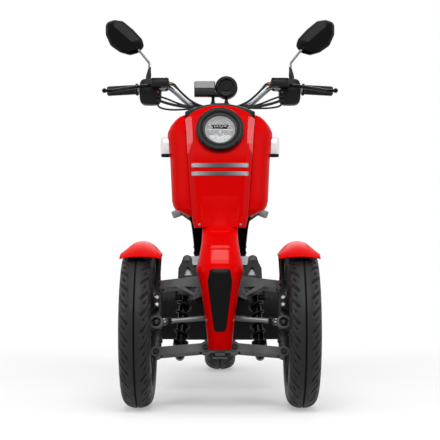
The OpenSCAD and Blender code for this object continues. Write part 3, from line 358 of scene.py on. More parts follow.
# Steel under black powder coat: slightly wavy, half gloss.
powder_black = finish("black_steel_powder_coated", "#131314", "#0A0A0B", 0.4, grain_mm=2.5, relief_mm=0.05,
                      **{"IOR": 1.5, "Specular IOR Level": 0.22})
# Zinc-plated steel of bolts and nuts: bright, a little cloudy.
zinc = finish("steel_zinc_plated", "#A9ABAD", "#85878A", 0.34, metal=1.0, cloud_mm=22, grain_mm=3,
              relief_mm=0.006, polish=0.08)
# Drawn steel of the tie rods under a clear coat.
rod_steel = finish("steel_drawn_coated", "#7C7E80", "#5A5C5E", 0.36, metal=0.9, cloud_mm=22, grain_mm=3,
                   relief_mm=0.01)
# Polished chrome of the handlebar.
chrome = finish("steel_chromed", "#8E9093", "#6F7174", 0.2, metal=1.0, cloud_mm=45, grain_mm=4,
                relief_mm=0.006, polish=0.05)
# Aluminium trim brushed across the scooter: long streaks 0.4 mm apart, drawn at 2 mm. Its tone grows lighter
# towards its ends, a painted reflection.
brushed = finish("aluminium_brushed", "#545658", "#3E4042", 0.36, metal=0.8, cloud_mm=18, grain_mm=2,
                 relief_mm=0.02, polish=0.1, stretch=(0.08, 1, 1), ends=("#9C9EA0", 84))
# Ground steel of the brake discs.
disc_steel = finish("steel_ground", "#A9ABAE", "#7F8184", 0.3, metal=1.0, cloud_mm=9, grain_mm=2,
                    relief_mm=0.03)
# Turned brass of the hose unions.
brass = finish("brass_turned", "#7E6F4C", "#54492F", 0.4, metal=1.0, cloud_mm=6, grain_mm=1.5,
               relief_mm=0.03)
metals = (cast_grey, cast_bare, wheel_black, powder_black, zinc, rod_steel, chrome, brushed, disc_steel,
          brass)
print("metal:", [m.name for m in metals])

# %% [markdown]
# Rubber and vinyl are matt and scatter light. Lamps and mirrors are glass, clear plastic or a bright film.

# %% Rubber, vinyl and lamps
# Moulded rubber of the grips and boots.
grip_rubber = finish("rubber_moulded", "#1A1A1B", "#101011", 0.6, grain_mm=2, relief_mm=0.06,
                     **{"IOR": 1.52, "Specular IOR Level": 0.26})
# Tyre tread rubber: carbon black with a dusty bloom.
tyre_rubber = finish("tyre_rubber_cured", "#19191A", "#0F0F10", 0.52, cloud_mm=40, grain_mm=2.4,
                     relief_mm=0.06, polish=0.1, **{"IOR": 1.52, "Specular IOR Level": 0.28})
# Vinyl with a pressed leather grain, cells 1.5 mm wide drawn at 3 mm.
seat_vinyl = finish("vinyl_leather_grain", "#232325", "#121213", 0.5, grain_mm=3, relief_mm=0.35, cells=True,
                    **{"IOR": 1.5, "Sheen Weight": 0.08})
# Silvered glass.
mirror_silver = finish("glass_silvered", "#E2E6E9", "#D2D7DB", 0.04, metal=1.0, cloud_mm=70, grain_mm=9,
                       relief_mm=0.002, polish=0.02)
# Vapour-deposited aluminium inside the headlight, with a faint painted glow that lights it up.
PAINTED_GLOW = {"Emission Color": linear("#FFFFFF"), "Emission Strength": 0.26}
lamp_silver = finish("aluminised_reflector", "#F4F5F6", "#C9CBCD", 0.3, metal=0.35, cloud_mm=9, grain_mm=3,
                     relief_mm=0.12, polish=0.1, **PAINTED_GLOW)
# Grey lacquer with the same faint painted glow.
lamp_grey = finish("reflector_grey_lacquered", "#B4B6B8", "#7F8183", 0.3, metal=0.3, cloud_mm=8, grain_mm=3,
                   relief_mm=0.1, polish=0.1, **PAINTED_GLOW)
# Injection-moulded polycarbonate, clear.
clear_lens = finish("polycarbonate_clear", "#FBFCFD", "#F2F4F5", 0.04, cloud_mm=30, grain_mm=6,
                    relief_mm=0.004, polish=0.02, **{"IOR": 1.585, "Transmission Weight": 1.0})
# A thin cover of the same plastic, which hardly bends what is behind it.
clear_cover = finish("polycarbonate_clear_thin", "#0C0D0E", "#070808", 0.05, cloud_mm=30, grain_mm=6,
                     relief_mm=0.004, polish=0.02, **{"IOR": 1.585, "Alpha": 0.14})
# The same plastic dyed red.
red_lens = finish("polycarbonate_red", "#C4141C", "#A00C14", 0.14, cloud_mm=20, grain_mm=4, relief_mm=0.06,
                  **{"IOR": 1.585, "Transmission Weight": 0.35})
soft_and_clear = (grip_rubber, tyre_rubber, seat_vinyl, mirror_silver, lamp_silver, lamp_grey, clear_lens,
                  clear_cover, red_lens)
print("rubber, vinyl and lamps:", [m.name for m in soft_and_clear])

# %% [markdown]
# ## Dressing the solids that are already right
# Turned, cast and welded parts have their true shape in the frame, so they only take a finish. Where one
# solid holds two finishes, such as a cast wheel with its steel brake disc, the finish is chosen for each
# face from where it lies.

# %% Finishes on the solids
plain = {
    cast_grey: ["suspension_post", "upper_arms", "lower_arms", "knuckle_left", "knuckle_right", "swingarm",
                "steering_column", "battery", "kingpins"],
    rod_steel: ["tie_rod_left", "tie_rod_right"],
    powder_black: ["pivot_pins", "main_frame", "rear_caliper", "caliper_left", "caliper_right", "grab_rail",
                   "seat_base"],
    black_abs: ["nose_inlay", "headlight_bezel", "top_cowl", "footboard", "belly_pan", "seat_tower",
                "rear_mudguard", "control_pods", "instrument", "leg_shield"],
    red_lacquer: ["nose_cover", "front_panel", "side_panels", "tail_panels", "fender_left", "fender_right"],
    brushed: ["panel_strips"],
    lamp_silver: ["headlight_lamp"],
    clear_lens: ["headlight_lens", "front_indicators", "rear_indicators"],
    red_lens: ["tail_lamp"],
    grip_rubber: ["grips", "cables"],
    tyre_rubber: ["tyre_left", "tyre_right", "tyre_rear"],
    seat_vinyl: ["seat_cushion"],
    chrome: ["handlebar"],
    black_gloss: ["mirrors", "brake_levers", "front_dampers", "rear_dampers"],
    mirror_silver: ["mirror_glasses"],
    wheel_black: ["rim_left", "rim_right", "rim_rear"],
}
for surface, names in plain.items():
    for name in names:
        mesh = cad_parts[name].data
        mesh.materials.clear()
        mesh.materials.append(surface)
print("dressed", sum(len(n) for n in plain.values()), "solids")

# %% Second finishes
BRACKET_X, BRACKET_Z = 32, 395
ROD_RING_X = 150
DISC_R = 101
DISC_X = {"rim_left": (216.5, 221.5), "rim_right": (216.5, 221.5), "rim_rear": (43.5, 48.5)}


def second_finish(name, surface, there):
    """Gives a solid a second finish on each face whose middle, in mm, passes a test."""
    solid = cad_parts[name]
    solid.data.materials.append(surface)
    for face in solid.data.polygons:
        face.material_index = int(there((solid.matrix_world @ face.center) * 1000))


second_finish("suspension_post", cast_bare, lambda at: abs(at.x) > BRACKET_X and at.z > BRACKET_Z)
for name in ("tie_rod_left", "tie_rod_right"):
    second_finish(name, cast_grey, lambda at: abs(at.x) > ROD_RING_X)
for name, (near, far) in DISC_X.items():
    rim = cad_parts[name]
    axle = (rim.matrix_world @ (sum((Vector(c) for c in rim.bound_box), Vector()) / 8)) * 1000
    second_finish(name, disc_steel,
                  lambda at: near < abs(at.x) < far and math.hypot(at.y - axle.y, at.z - axle.z) < DISC_R)
print("two finishes on", 3 + len(DISC_X), "solids")

# %% [markdown]
# ## Tyres
# A scooter tyre is cured in a mould whose ribs press the grooves: one ring in the middle and slanted ones
# that run out over the shoulders, so that water is thrown sideways. The grooves could be painted as bump,
# but they show at the edge of the tyre, so here the skin itself is pressed in where a groove lies.

# %% Tyres with tread
BEAD_R, BEAD_LIP, BEAD_GAP, BEAD_IN = 152.5, 11.7, 0.25, 16.5
REAR_TYRE_R = 236.5
FRONT_TYRE_WIDE, REAR_TYRE_WIDE = 90, 120
TYRE_P, TYRE_STEPS, TYRE_PITCHES = 2.35, 512, 30
MIDDLE_HALF, MIDDLE_DEEP = 2.6, 4.5
SLANTED, SLANTED_DEEP, SLANT = ((0.0, 15, 52, 6.0), (0.5, 24, 40, 5.0)), 4.2, 1.1


def groove_depth(around, across, pitch):
    """How deep the mould's ribs press at a point of the tread, in millimetres."""
    side, a = (1 if across > 0 else 0), abs(across)
    depth = MIDDLE_DEEP if a < MIDDLE_HALF else 0.0
    for start, low, high, width in SLANTED:
        if low < a < high:
            off = (around + pitch * (0.5 * side + start) + SLANT * a) % pitch - pitch / 2
            reach = min(1.0, (a - low) / 5, (high - a) / 5)
            if abs(off) < (width + 0.05 * a) / 2:
                depth = max(depth, SLANTED_DEEP * reach)
    return depth


def tyre(name, x, y, outer_r, width, body, node):
    """A tyre drawn section by section round its axle, with the grooves pressed in."""
    mid = (outer_r + BEAD_R) / 2
    section = []
    for a in np.radians(np.linspace(220, -40, 113)):
        h = outer_r - mid if math.sin(a) > 0 else mid - BEAD_R
        section.append((mid + h * bulge(math.sin(a), TYRE_P), width / 2 * bulge(math.cos(a), TYRE_P)))
    section = np.array(section)
    steps = np.linalg.norm(np.diff(section, axis=0), axis=1)
    along = np.concatenate([[0], np.cumsum(steps)])
    along -= along[len(section) // 2]
    slope = np.gradient(section, axis=0)
    normal = np.stack([-slope[:, 1], slope[:, 0]], 1) / np.linalg.norm(slope, axis=1)[:, None]
    bead, lip, foot = width / 2 - BEAD_IN, BEAD_R + BEAD_LIP, BEAD_R + BEAD_GAP
    pitch = 2 * math.pi * outer_r / TYRE_PITCHES
    rings = []
    for k in range(TYRE_STEPS):
        turn = 2 * math.pi * k / TYRE_STEPS
        ring = []
        for (r, w), (nr, nw), v in zip(section, normal, along):
            d = groove_depth(turn * outer_r, v, pitch)
            ring.append((r + d * nr, w + d * nw))
        ring += [(lip, bead), (foot, bead), (foot, -bead), (lip, -bead)]
        rings.append([(x + w, y - r * math.sin(turn), outer_r + r * math.cos(turn)) for r, w in ring])
    piece(name, *joined(rings), tyre_rubber, body, "tyre_rubber", (node,), angle=50)


tyre("tread_left", TRACK_X, FRONT_Y, FRONT_R, FRONT_TYRE_WIDE, "wheel_left", "tyre_left")
tyre("tread_right", -TRACK_X, FRONT_Y, FRONT_R, FRONT_TYRE_WIDE, "wheel_right", "tyre_right")
tyre("tread_rear", 0, Y(WHEELBASE), REAR_TYRE_R, REAR_TYRE_WIDE, "wheel_rear", "tyre_rear")

# %% [markdown]
# ## Painted shells
# The front of the body is moulded in thin shells: a nose, a middle panel that carries the headlight, and a
# wing on each side. A mould maker describes such a shell by its outline at a few heights. The rows below
# give height, half width, and how far the shell reaches forward and back from the axle. Straight runs join
# them, because the real shells have creases, and each height becomes an open C with a wall of 3 mm.

# %% Shells from heights
SKIN = 3.0
NOSE = [(175, 34, -120, -70), (190, 35.5, -129, -69), (220, 38, -140, -68), (280, 45, -150, -66),
        (317, 51, -151, -65), (354, 56.5, -149, -63), (388, 64, -143, -60), (396, 68.4, -141, -58),
        (410, 66.4, -136, -54), (449, 58.6, -93, -36), (468, 55.6, -70, -14), (471, 55.2, -68, -10),
        (482, 54, -53, 4), (511, 53, -12, 47), (515, 53, -6, 53), (530, 54.5, 9, 72), (545, 55, 15, 80),
        (566, 55, 20, 85)]
PANEL = [(525, 77, 20, 85), (555, 84, 25, 95), (743, 99, 45, 130), (813, 103, 69, 148), (869, 108, 96, 165),
         (900, 110, 118, 178)]
WING = [(560, 94, 60, 124), (581, 135, 62, 152), (594, 143, 64, 162), (609, 147, 65, 166),
        (738, 154, 76, 195), (814, 163, 95, 213), (826, 162, 99, 214), (845, 153, 112, 214.5),
        (862, 140, 123, 215), (873, 127.5, 131, 215), (879, 113, 136, 215)]
NOSE_P, WING_P = 2.8, 2.2
FLAT, EDGE, CHAMFER = 0.80, 0.985, 0.62


def straight(rows, steps):
    """Rows joined by straight runs, so that the corners between them stay crisp."""
    rows = np.array(rows, float)
    at = np.linspace(0, len(rows) - 1, steps * (len(rows) - 1) + 1)
    return np.stack([np.interp(at, range(len(rows)), rows[:, k]) for k in range(rows.shape[1])], 1)


def depth_at(x, p):
    """Share of a shell's depth at a share x of its half width; without p it has a flat face and chamfers."""
    if p is None:
        return np.interp(abs(x), (0, FLAT, EDGE, 1.0), (1, EDGE, CHAMFER, 0.0))
    return max(0.0, 1 - abs(x) ** p) ** (1 / p)


def arc(z, half, mouth, crown, p, angles):
    """The points of a shell's outline at one height, from its left edge round to its right."""
    out = []
    for a in angles:
        if p is None:
            t = a / math.pi
            x, d = (np.interp(t, (0, 0.14, 0.30, 0.70, 0.86, 1), v) for v in
                    ((1, EDGE, FLAT, -FLAT, -EDGE, -1), (0, CHAMFER, EDGE, EDGE, CHAMFER, 0)))
            d += (1 - EDGE) * max(0.0, 1 - (x / FLAT) ** 2)
        else:
            x, d = bulge(math.cos(a), p), bulge(math.sin(a), p)
        out.append((x * half, Y(mouth + (crown - mouth) * d), z))
    return out if crown > mouth else [(-x, y, z) for x, y, z in out]


def c_shell(rows, p, span=None):
    """An open C at each height; span gives the angles drawn, all of the half turn if it is left out."""
    rings = []
    for z, half, front, rear in rows:
        angles = np.linspace(0, math.pi, 81) if span is None else span(z, half)
        out = arc(z, half, rear, front, p, angles)
        back = arc(z, half - SKIN, rear, front + SKIN, p, angles[::-1])
        rings.append(out + back)
    return skin(rings)


def panel_at(z, column):
    """Half width (column 1) or front (column 2) of the front panel at a height."""
    return np.interp(z, [row[0] for row in PANEL], [row[column] for row in PANEL])


print("heights:", len(NOSE), "for the nose,", len(PANEL), "for the panel,", len(WING), "for the wings")

# %% [markdown]
# The panel ends in an arch over the headlight and has a round opening for it. Both could be drawn into the
# loft, but a cut with a second solid gives a cleaner edge. The solid is thrown away afterwards.

# %% Nose and front panel
LAMP_TILT = math.radians(20)
LAMP_AT = Vector((0, Y(64), 820))
LAMP_AXIS = Vector((0, -math.cos(LAMP_TILT), math.sin(LAMP_TILT)))
LAMP_HOLE_R = 67.5
ARCH_R, ARCH_TOP, ARCH_HALF, ARCH_FOOT = 152, 900, 140, 500


def tool(points, faces):
    """A cutting solid that is thrown away after use."""
    obj = bpy.data.objects.new("tool", mm_mesh("tool", points, faces))
    scene.collection.objects.link(obj)
    return obj


def carve(obj, cutter, how):
    """Cuts a piece with another and keeps only the result."""
    cut = obj.modifiers.new("cut", "BOOLEAN")
    cut.operation = how
    cut.object = cutter
    cut.solver = "EXACT"
    bpy.context.view_layer.update()
    obj.data = applied(obj)
    obj.modifiers.clear()
    obj.data.shade_smooth()
    obj.data.set_sharp_from_angle(angle=math.radians(35))
    bpy.data.objects.remove(cutter)


nose = piece("nose_shell", *c_shell(straight(NOSE, 4), NOSE_P), red_lacquer, "frame", "red_paint",
             ("nose_cover",))
panel = piece("front_panel_shell", *c_shell(straight(PANEL, 8), None), red_lacquer, "frame", "red_paint",
              ("front_panel",))
arch = [(ARCH_R * math.sin(a), ARCH_TOP - ARCH_R + ARCH_R * math.cos(a)) for a in np.linspace(-0.9, 0.9, 97)]
knee = arch[0][1]
arch = [(-ARCH_HALF, ARCH_FOOT), (-ARCH_HALF, knee)] + arch + [(ARCH_HALF, knee), (ARCH_HALF, ARCH_FOOT)]
carve(panel, tool(*skin([[(x, Y(s), z) for x, z in arch] for s in (-50, 250)])), "INTERSECT")
carve(panel, tool(*turned([(LAMP_HOLE_R, -60), (LAMP_HOLE_R, 60)], LAMP_AT, LAMP_AXIS, 96)), "DIFFERENCE")
for shell in (nose, panel):
    rounded(shell, 0.8, 50)

# %% [markdown]
# The lacquer gets painted highlights on the chamfers beside the headlight and where the nose turns upwards.
# The bands are no parts of their own, so the faces that lie there take a lighter, glossier copy of the
# lacquer, and a half-strength one where a band runs out.

# %% Painted highlights on bands
PAINTED_HIGHLIGHT, HALF_HIGHLIGHT = 1, 2
BAND_LOW, BAND_FULL, BAND_WIDE, BAND_TOP = 744, 775, 785, 862
SHEEN_HALF, SHEEN_CORE = 26, 21
SHEEN_ROWS, SHEEN_BRIGHT = ((418, 458), (464, 472), (511, 515)), (427, 458)
for shell in (panel, nose):
    shell.data.materials.append(red_painted_highlight)
    shell.data.materials.append(red_half_highlight)
for face in panel.data.polygons:
    x, z = abs(face.center.x) * 1000, face.center.z * 1000
    slanted = 0.3 < abs(face.normal.x) < 0.97 and face.normal.y < 0
    inner = np.interp(z, (BAND_LOW, BAND_WIDE), (0.99, FLAT))
    if slanted and BAND_LOW < z < BAND_TOP and x / panel_at(z, 1) > inner:
        face.material_index = PAINTED_HIGHLIGHT if z > BAND_FULL else HALF_HIGHLIGHT
# Painted highlights on the nose, on the facets where it turns upwards.
for face in nose.data.polygons:
    x, z = abs(face.center.x) * 1000, face.center.z * 1000
    if face.normal.y < 0 and x < SHEEN_HALF and any(low < z < high for low, high in SHEEN_ROWS):
        core = x < SHEEN_CORE and SHEEN_BRIGHT[0] < z < SHEEN_BRIGHT[1]
        face.material_index = PAINTED_HIGHLIGHT if core else HALF_HIGHLIGHT
print("buffed faces:", sum(f.material_index > 0 for s in (panel, nose) for f in s.data.polygons))

# %% [markdown]
# A raised band carries the nose on into the panel and fades out upwards. The wings stand beside the panel
# like open shells, so each is the same open C, drawn only from its outer edge to the panel's edge.

# %% Raised band and wings
RISE_LOW, RISE_HIGH, RISE_MM = 526, 620, 6.5
WING_GAP = 1.0
band = []
for z in np.linspace(RISE_LOW, RISE_HIGH, 24):
    proud = RISE_MM * (1 - ((z - RISE_LOW) / (RISE_HIGH - RISE_LOW)) ** 1.6) - 0.6
    edge = [(58, -4), (56, -0.6), (50, proud)]
    row = edge + [(0, proud + 0.6)] + [(-x, d) for x, d in edge[::-1]]
    band.append([(x, Y(panel_at(z, 2) - d), z) for x, d in row])
piece("nose_band", *skin(band), red_lacquer, "frame", "red_paint")


def wing_span(z, half):
    """The angles of a wing's C, from its outer edge to the edge of the panel."""
    return np.linspace(0, math.acos(min(1.0, (panel_at(z, 1) + WING_GAP) / half) ** 1.1), 25)


wing = c_shell(straight(WING, 4), WING_P, span=wing_span)
piece("wing_shells", *both(wing), red_lacquer, "frame", "red_paint", ("side_panels",), round_mm=0.8)

# %% [markdown]
# ## Fenders
# Each front fender is a red arch over the tyre that turns with the wheel, on a black bracket bolted to the
# knuckle. The arch is a section carried round the axle. In front it is flat like a visor, and further back
# its sides reach lower and the inner one draws in.

# %% Fenders and brackets
CROWN_R = FRONT_R + 15 + SKIN
FENDER_HALF, FENDER_DRAWN_IN, FENDER_INWARD = 59, 15, 12
FENDER_FROM, FENDER_TO = -35, 65
VISOR_DROP, SIDE_DROP = 7, 33
STAY_X, STAY_U, STAY_W = (178, 189), (-40.3, -34.3), (46, 221)
STAY_BOLT, STAY_BOLT_W = [(6.5, 0), (6.5, 3), (4.5, 4.5)], (56, 78)


def fender_section(degrees):
    """The fender's skin at a turn about the axle: rows of (offset outwards, radius)."""
    slim = FENDER_HALF - FENDER_DRAWN_IN * max(0.0, min(1.0, (degrees + 8) / 55))
    share = max(0.0, min(1.0, (degrees + 36) / 32))
    drop = VISOR_DROP + SIDE_DROP * share * share * (3 - 2 * share)
    row = np.linspace(-1, 1, 33)
    halves = [FENDER_HALF if i > 0 else slim for i in row]
    outer = [(half * i, CROWN_R - drop * half / FENDER_HALF * abs(i) ** 2.2) for i, half in zip(row, halves)]
    inner = [(x - 1.2 * i, r - SKIN) for i, (x, r) in zip(row[::-1], outer[::-1])]
    return outer + inner


for side, word in ((1, "left"), (-1, "right")):
    rings = []
    for degrees in np.linspace(FENDER_FROM, FENDER_TO, 51):
        up, along = math.cos(math.radians(degrees)), math.sin(math.radians(degrees))
        ring = [(side * (TRACK_X - FENDER_INWARD + x), FRONT_Y + r * along, FRONT_R + r * up)
                for x, r in fender_section(degrees)]
        rings.append(ring[::side])
    knuckle = f"knuckle_{word}"
    piece(f"fender_arch_{word}", *skin(rings), red_lacquer, knuckle, "red_paint", (f"fender_{word}",),
          round_mm=1.0, angle=50)
    (near, far), (front, back) = STAY_X, STAY_U
    stay = [raked(side * x, u, w) for w in STAY_W
            for x, u in ((near, front), (far, front), (far, back), (near, back))]
    bolts = [turned(STAY_BOLT, raked(side * sum(STAY_X) / 2, front, w), -RAKED_U, 20) for w in STAY_BOLT_W]
    piece(f"fender_stay_{word}", stay, BOX_FACES, powder_black, knuckle, "black_steel", round_mm=1.5)
    piece(f"fender_bolts_{word}", *several(bolts), zinc, knuckle, "silver_steel")

# %% [markdown]
# ## Headlight
# Behind the clear lens sits a bright bowl with a row of light guides: a dark bar with LEDs across the upper
# half, a bulb in the middle and a ribbed fan below that spreads the beam. The bowl could be one smooth cup,
# but its steps are what the eye reads as a lamp, so the fan and the bands are cut as separate small facets.

# %% Bowl and fan of the headlight
LAMP_UP = LAMP_AXIS.cross(ACROSS)
BOWL = [(0.5, -20), (14, -19.4), (26, -17), (36, -11), (42, -5), (43.3, -2), (45, -1.6), (45.3, -10),
        (28, -24), (0.5, -26)]
LAMP_RIM = [(45.9, -2), (45.9, 3.5), (48, 5.2), (50.6, 6.4), (52.4, 5), (52.4, 0), (49, -2)]
FACETS, FAN_FROM, FAN_SPAN = 15, 196, 148


def in_lamp(a, b, depth):
    """A point of the headlight: across, up and out along the lamp's axis."""
    return tuple(LAMP_AT + ACROSS * a + LAMP_UP * b + LAMP_AXIS * depth)


# The bowl, the fan, the guides and the LEDs carry the faint painted glow of their finishes.
piece("lamp_bowl", *turned(BOWL, LAMP_AT, LAMP_AXIS, 72), lamp_grey, "frame", "silver_steel",
      ("headlight_lamp",))
rim = turned(LAMP_RIM, LAMP_AT, LAMP_AXIS, 96, ring=True)
piece("lamp_rim", *rim, cast_grey, "frame", "silver_steel", angle=50)
BULB_UP = -6.0
fan = []
for i in range(FACETS):
    a0, a1 = (math.radians(FAN_FROM + FAN_SPAN / FACETS * (i + d)) for d in (0.06, 0.94))
    rows = []
    for r, lift in ((8, -17), (22, -14), (35.5, -5)):
        section = ((a0, lift), ((a0 + a1) / 2, lift + 2.6), (a1, lift), (a1, lift - 4), (a0, lift - 4))
        rows.append([in_lamp(r * math.cos(a), BULB_UP + r * math.sin(a), out) for a, out in section])
    fan.append(skin(rows))
piece("lamp_fan", *several(fan), lamp_silver, "frame", "silver_steel", angle=20)

# %% [markdown]
# Above the fan lie rows of light guides, small prisms with their crest outwards. Between the upper ones a
# black bar carries five LEDs, and the bulb stands in the middle of the fan.

# %% Light guides, bar and bulb
BAR_UP = 13


def light_guide(middle, up, half, tall, depth, crest):
    """A prism across the lamp with its crest outwards."""
    return skin([[in_lamp(middle + e * half, up + h, depth + d) for h, d in
                  ((-tall, 0), (0, crest), (tall, 0), (0, -4))] for e in (-1, 1)])


bright = [light_guide(0, 20.5, 37, 1.3, -8, 3), light_guide(0, 3.4, 41, 2.4, -9, 2)]
dim = [light_guide(0, up, half, 1.5, -9, 2.4) for up, half in ((25, 32), (29, 28), (33, 23), (37, 16))]
dim += [light_guide(side * 26, up, 12, 1.7, -9, 2.2) for side in (-1, 1)
        for up in (-2.4, -6.4, -10.4, 11, 15)]
piece("lamp_guides_bright", *several(bright), lamp_silver, "frame", "silver_steel", angle=20)
piece("lamp_guides", *several(dim), lamp_grey, "frame", "silver_steel", angle=20)
bar = skin([[in_lamp(a * s, BAR_UP + b, d) for a, b in ((-21, -4.6), (21, -4.6), (27, 4.6), (-27, 4.6))]
            for s, d in ((1.0, -16), (1.0, -6), (0.96, -5))])
piece("lamp_bar", *bar, black_gloss, "frame", "black_plastic", round_mm=0.6)
leds = [turned([(2.2, 0), (2.0, 1.0), (1.0, 1.8), (0.2, 2.0)], in_lamp(a, BAR_UP, -5.2), LAMP_AXIS, 16)
        for a in (-16, -8, 0, 8, 16)]
piece("lamp_leds", *several(leds), lamp_grey, "frame", "clear_lens")
bulb = turned([(6.5, -17), (6.5, -9), (5, -6), (2.6, -4.4), (0.3, -4)], in_lamp(0, BULB_UP, 0), LAMP_AXIS, 24)
piece("lamp_bulb", *bulb, mirror_silver, "frame", "clear_lens")

# %% [markdown]
# The lens is a thin shallow dome. The bezel round it is turned, and four small notches are cut into its
# edge afterwards, because a turned profile is the same all round.

# %% Lens and bezel
LENS_R, LENS_DOME, LENS_WALL = 45.5, 7, 2.2
BEZEL = [(45.8, -22), (67, -22), (67.2, 1), (70.6, 0.6), (71.6, 2), (71.4, 5), (69, 8.4), (64, 10), (59, 9.4),
         (54, 7), (52.6, 5.6), (52.6, 0), (45.8, -2.4)]
NOTCH_AT, NOTCH_R = 69.5, 2.6
outside = [(LENS_R * math.cos(a), LENS_DOME * math.sin(a)) for a in np.radians(np.linspace(0, 88, 14))]
inside = [(LENS_R * 0.98 * math.cos(a), LENS_DOME * math.sin(a) - LENS_WALL)
          for a in np.radians(np.linspace(88, 4, 14))]
lens = turned([(45.2, -3.6)] + outside + inside, LAMP_AT, LAMP_AXIS, 72, ring=True)
piece("lamp_lens", *lens, clear_cover, "frame", "clear_lens", ("headlight_lens",))
bezel = piece("lamp_bezel", *turned(BEZEL, LAMP_AT, LAMP_AXIS, 96, ring=True), black_abs, "frame",
              "black_plastic", ("headlight_bezel",), angle=50)
for a in np.radians((-90, -45, -135, 90)):
    at = in_lamp(NOTCH_AT * math.cos(a), NOTCH_AT * math.sin(a), 4)
    carve(bezel, tool(*turned([(NOTCH_R, -3), (NOTCH_R, 14)], at, LAMP_AXIS, 16)), "DIFFERENCE")

# %% [markdown]
# ## Trim on the nose
# A thin black inlay with eased corners lies on the nose, and two brushed strips cross the front panel.
# Small studs hold the nose at its four corners. All of them follow a shell, so each is placed as seen from
# the front and then moved back onto the shell's surface.

# %% Inlay, strips and studs
NOSE_FACE, PANEL_FACE = straight(NOSE, 2), straight(PANEL, 2)
INLAY = [(10, 228), (14.5, 230), (17.5, 237), (34.6, 364), (35, 373), (29.5, 398), (26.5, 403), (21, 405)]
STRIP = [(83, -6.3), (84.6, -4.8), (85.4, 4.8), (84, 6.3)]
STRIP_Z = (711, 686)
STUD = [(3.2, -1), (3.2, 0.8), (2.4, 1.6), (0.3, 1.9)]
STUDS = ((NOSE_FACE, NOSE_P, 38, 259, 0.9), (PANEL_FACE, None, 60.5, 534, 0.2))


def on_shell(table, p, x, z):
    """How far forward a shell's surface lies at a point seen from the front."""
    half, front, rear = (np.interp(z, table[:, 0], table[:, k]) for k in (1, 2, 3))
    return rear + (front - rear) * depth_at(min(1.0, abs(x) / half), p)


def evenly(outline, count):
    """The same closed outline with its points evenly spaced."""
    loop = np.array(list(outline) + [outline[0]])
    far = np.concatenate([[0], np.cumsum(np.linalg.norm(np.diff(loop, axis=0), axis=1))])
    spots = np.linspace(0, far[-1], count, endpoint=False)
    return np.stack([np.interp(spots, far, loop[:, k]) for k in (0, 1)], 1)


def patch(table, p, outline, lift, thick, rings):
    """A thin plate on a shell: outline is a closed row of (x, z) seen from the front."""
    outline = evenly(outline, 160)
    centre = np.mean(outline, axis=0)
    steps = [(1, lift - thick), (1, lift - 0.6), (0.985, lift)]
    steps += [(k / rings, lift) for k in range(rings - 1, 0, -1)]
    loops = []
    for share, up in steps:
        loop = centre + (outline - centre) * share
        loops.append([(x, Y(on_shell(table, p, x, z) - up), z) for x, z in loop])
    points, faces = skin(loops, caps=False)
    return points, faces + [tuple(range(len(points) - len(outline), len(points)))]


def symmetric(half):
    """A closed outline from its half at positive x, listed upwards."""
    return list(half) + [(-x, z) for x, z in half[::-1]]


inlay = patch(NOSE_FACE, NOSE_P, symmetric(INLAY), 2.2, 2.0, 16)
piece("nose_inlay_plate", *inlay, black_gloss, "frame", "black_plastic", ("nose_inlay",), angle=40)
strips = [patch(PANEL_FACE, None, symmetric([(x, middle + dz) for x, dz in STRIP]), 1.8, 1.6, 24)
          for middle in STRIP_Z]
piece("panel_trim", *several(strips), brushed, "frame", "silver_steel", ("panel_strips",), angle=40)
studs = [turned(STUD, (side * x, Y(on_shell(table, p, x, z) - 0.4), z), (side * outwards, -1, 0), 18)
         for table, p, x, z, outwards in STUDS for side in (1, -1)]
piece("nose_studs", *several(studs), zinc, "frame", "silver_steel")

# %% [markdown]
# ## Dampers
# Each spring is one wire wound on a mandrel, its end turns laid flat against the plates, and inside it runs
# a gas damper. Stacked rings would be simpler, but a wound wire shows its slope from every side, so it is
# drawn as a tube along a helix.

# %% Dampers with wound springs
SPRING_WIRE, SPRING_FROM_FOOT, SPRING_FROM_TOP = 4, 35, 53


def between(a, b, ahead=(0, 1, 0)):
    """Start, direction and two cross directions of a part that runs from a to b, and its length."""
    a, b = Vector(a), Vector(b)
    run = (b - a).normalized()
    side = Vector(ahead).cross(run).normalized()
    return a, run, side, run.cross(side), (b - a).length


def coil(a, b, start, end, radius, wire, turns):
    """A wire wound round the line from a to b with its end turns closed."""
    at, run, p, q, _ = between(a, b)
    path, flat = [], 0.8 / turns
    for t in np.linspace(0, 1, int(turns * 26) + 1):
        rise = float(np.clip((t - flat) / (1 - 2 * flat), 0, 1))
        turn = 2 * math.pi * turns * t
        path.append(at + run * (start + wire + (end - start - 2 * wire) * rise)
                    + (p * math.cos(turn) + q * math.sin(turn)) * (radius - wire))
    return tube(path, wire, 10)


def plate(outline, at, across, up, thick):
    """A flat part cut from sheet: its outline along two directions, thick to both sides of the middle."""
    normal = across.cross(up)
    return skin([[tuple(at + across * a + up * b + normal * d) for a, b in outline] for d in (-thick, thick)])


def damper(foot, top, ahead, coil_r, eye_r, eye_half, turns):
    """Coil spring and the steel parts of one damper."""
    at, run, _, front, length = between(foot, top, ahead)
    wound = coil(foot, top, SPRING_FROM_FOOT, length - SPRING_FROM_TOP, coil_r, SPRING_WIRE, turns)
    lower = [(11, 6), (coil_r - 7, 15), (coil_r - 6, 28), (coil_r - 0.4, 29.5), (coil_r, 31), (coil_r, 34),
             (coil_r - 8, 35.5), (coil_r - 8.5, 150), (coil_r - 10, 153), (6.5, 154)]
    upper = [(6.5, 58), (11, 56), (13, 53.5), (coil_r, 52.5), (coil_r, 48.5), (coil_r - 1, 47), (12, 45),
             (9, 30), (9, 6)]
    ring = [(eye_r - 4, -eye_half), (eye_r - 0.8, -eye_half), (eye_r, -eye_half + 0.8),
            (eye_r, eye_half - 0.8), (eye_r - 0.8, eye_half), (eye_r - 4, eye_half)]
    steel = [turned(lower + [(r, length - d) for r, d in upper], at, run, 36)]
    steel += [turned(ring, at + run * h, front, 32, ring=True) for h in (0, length)]
    return wound, several(steel)


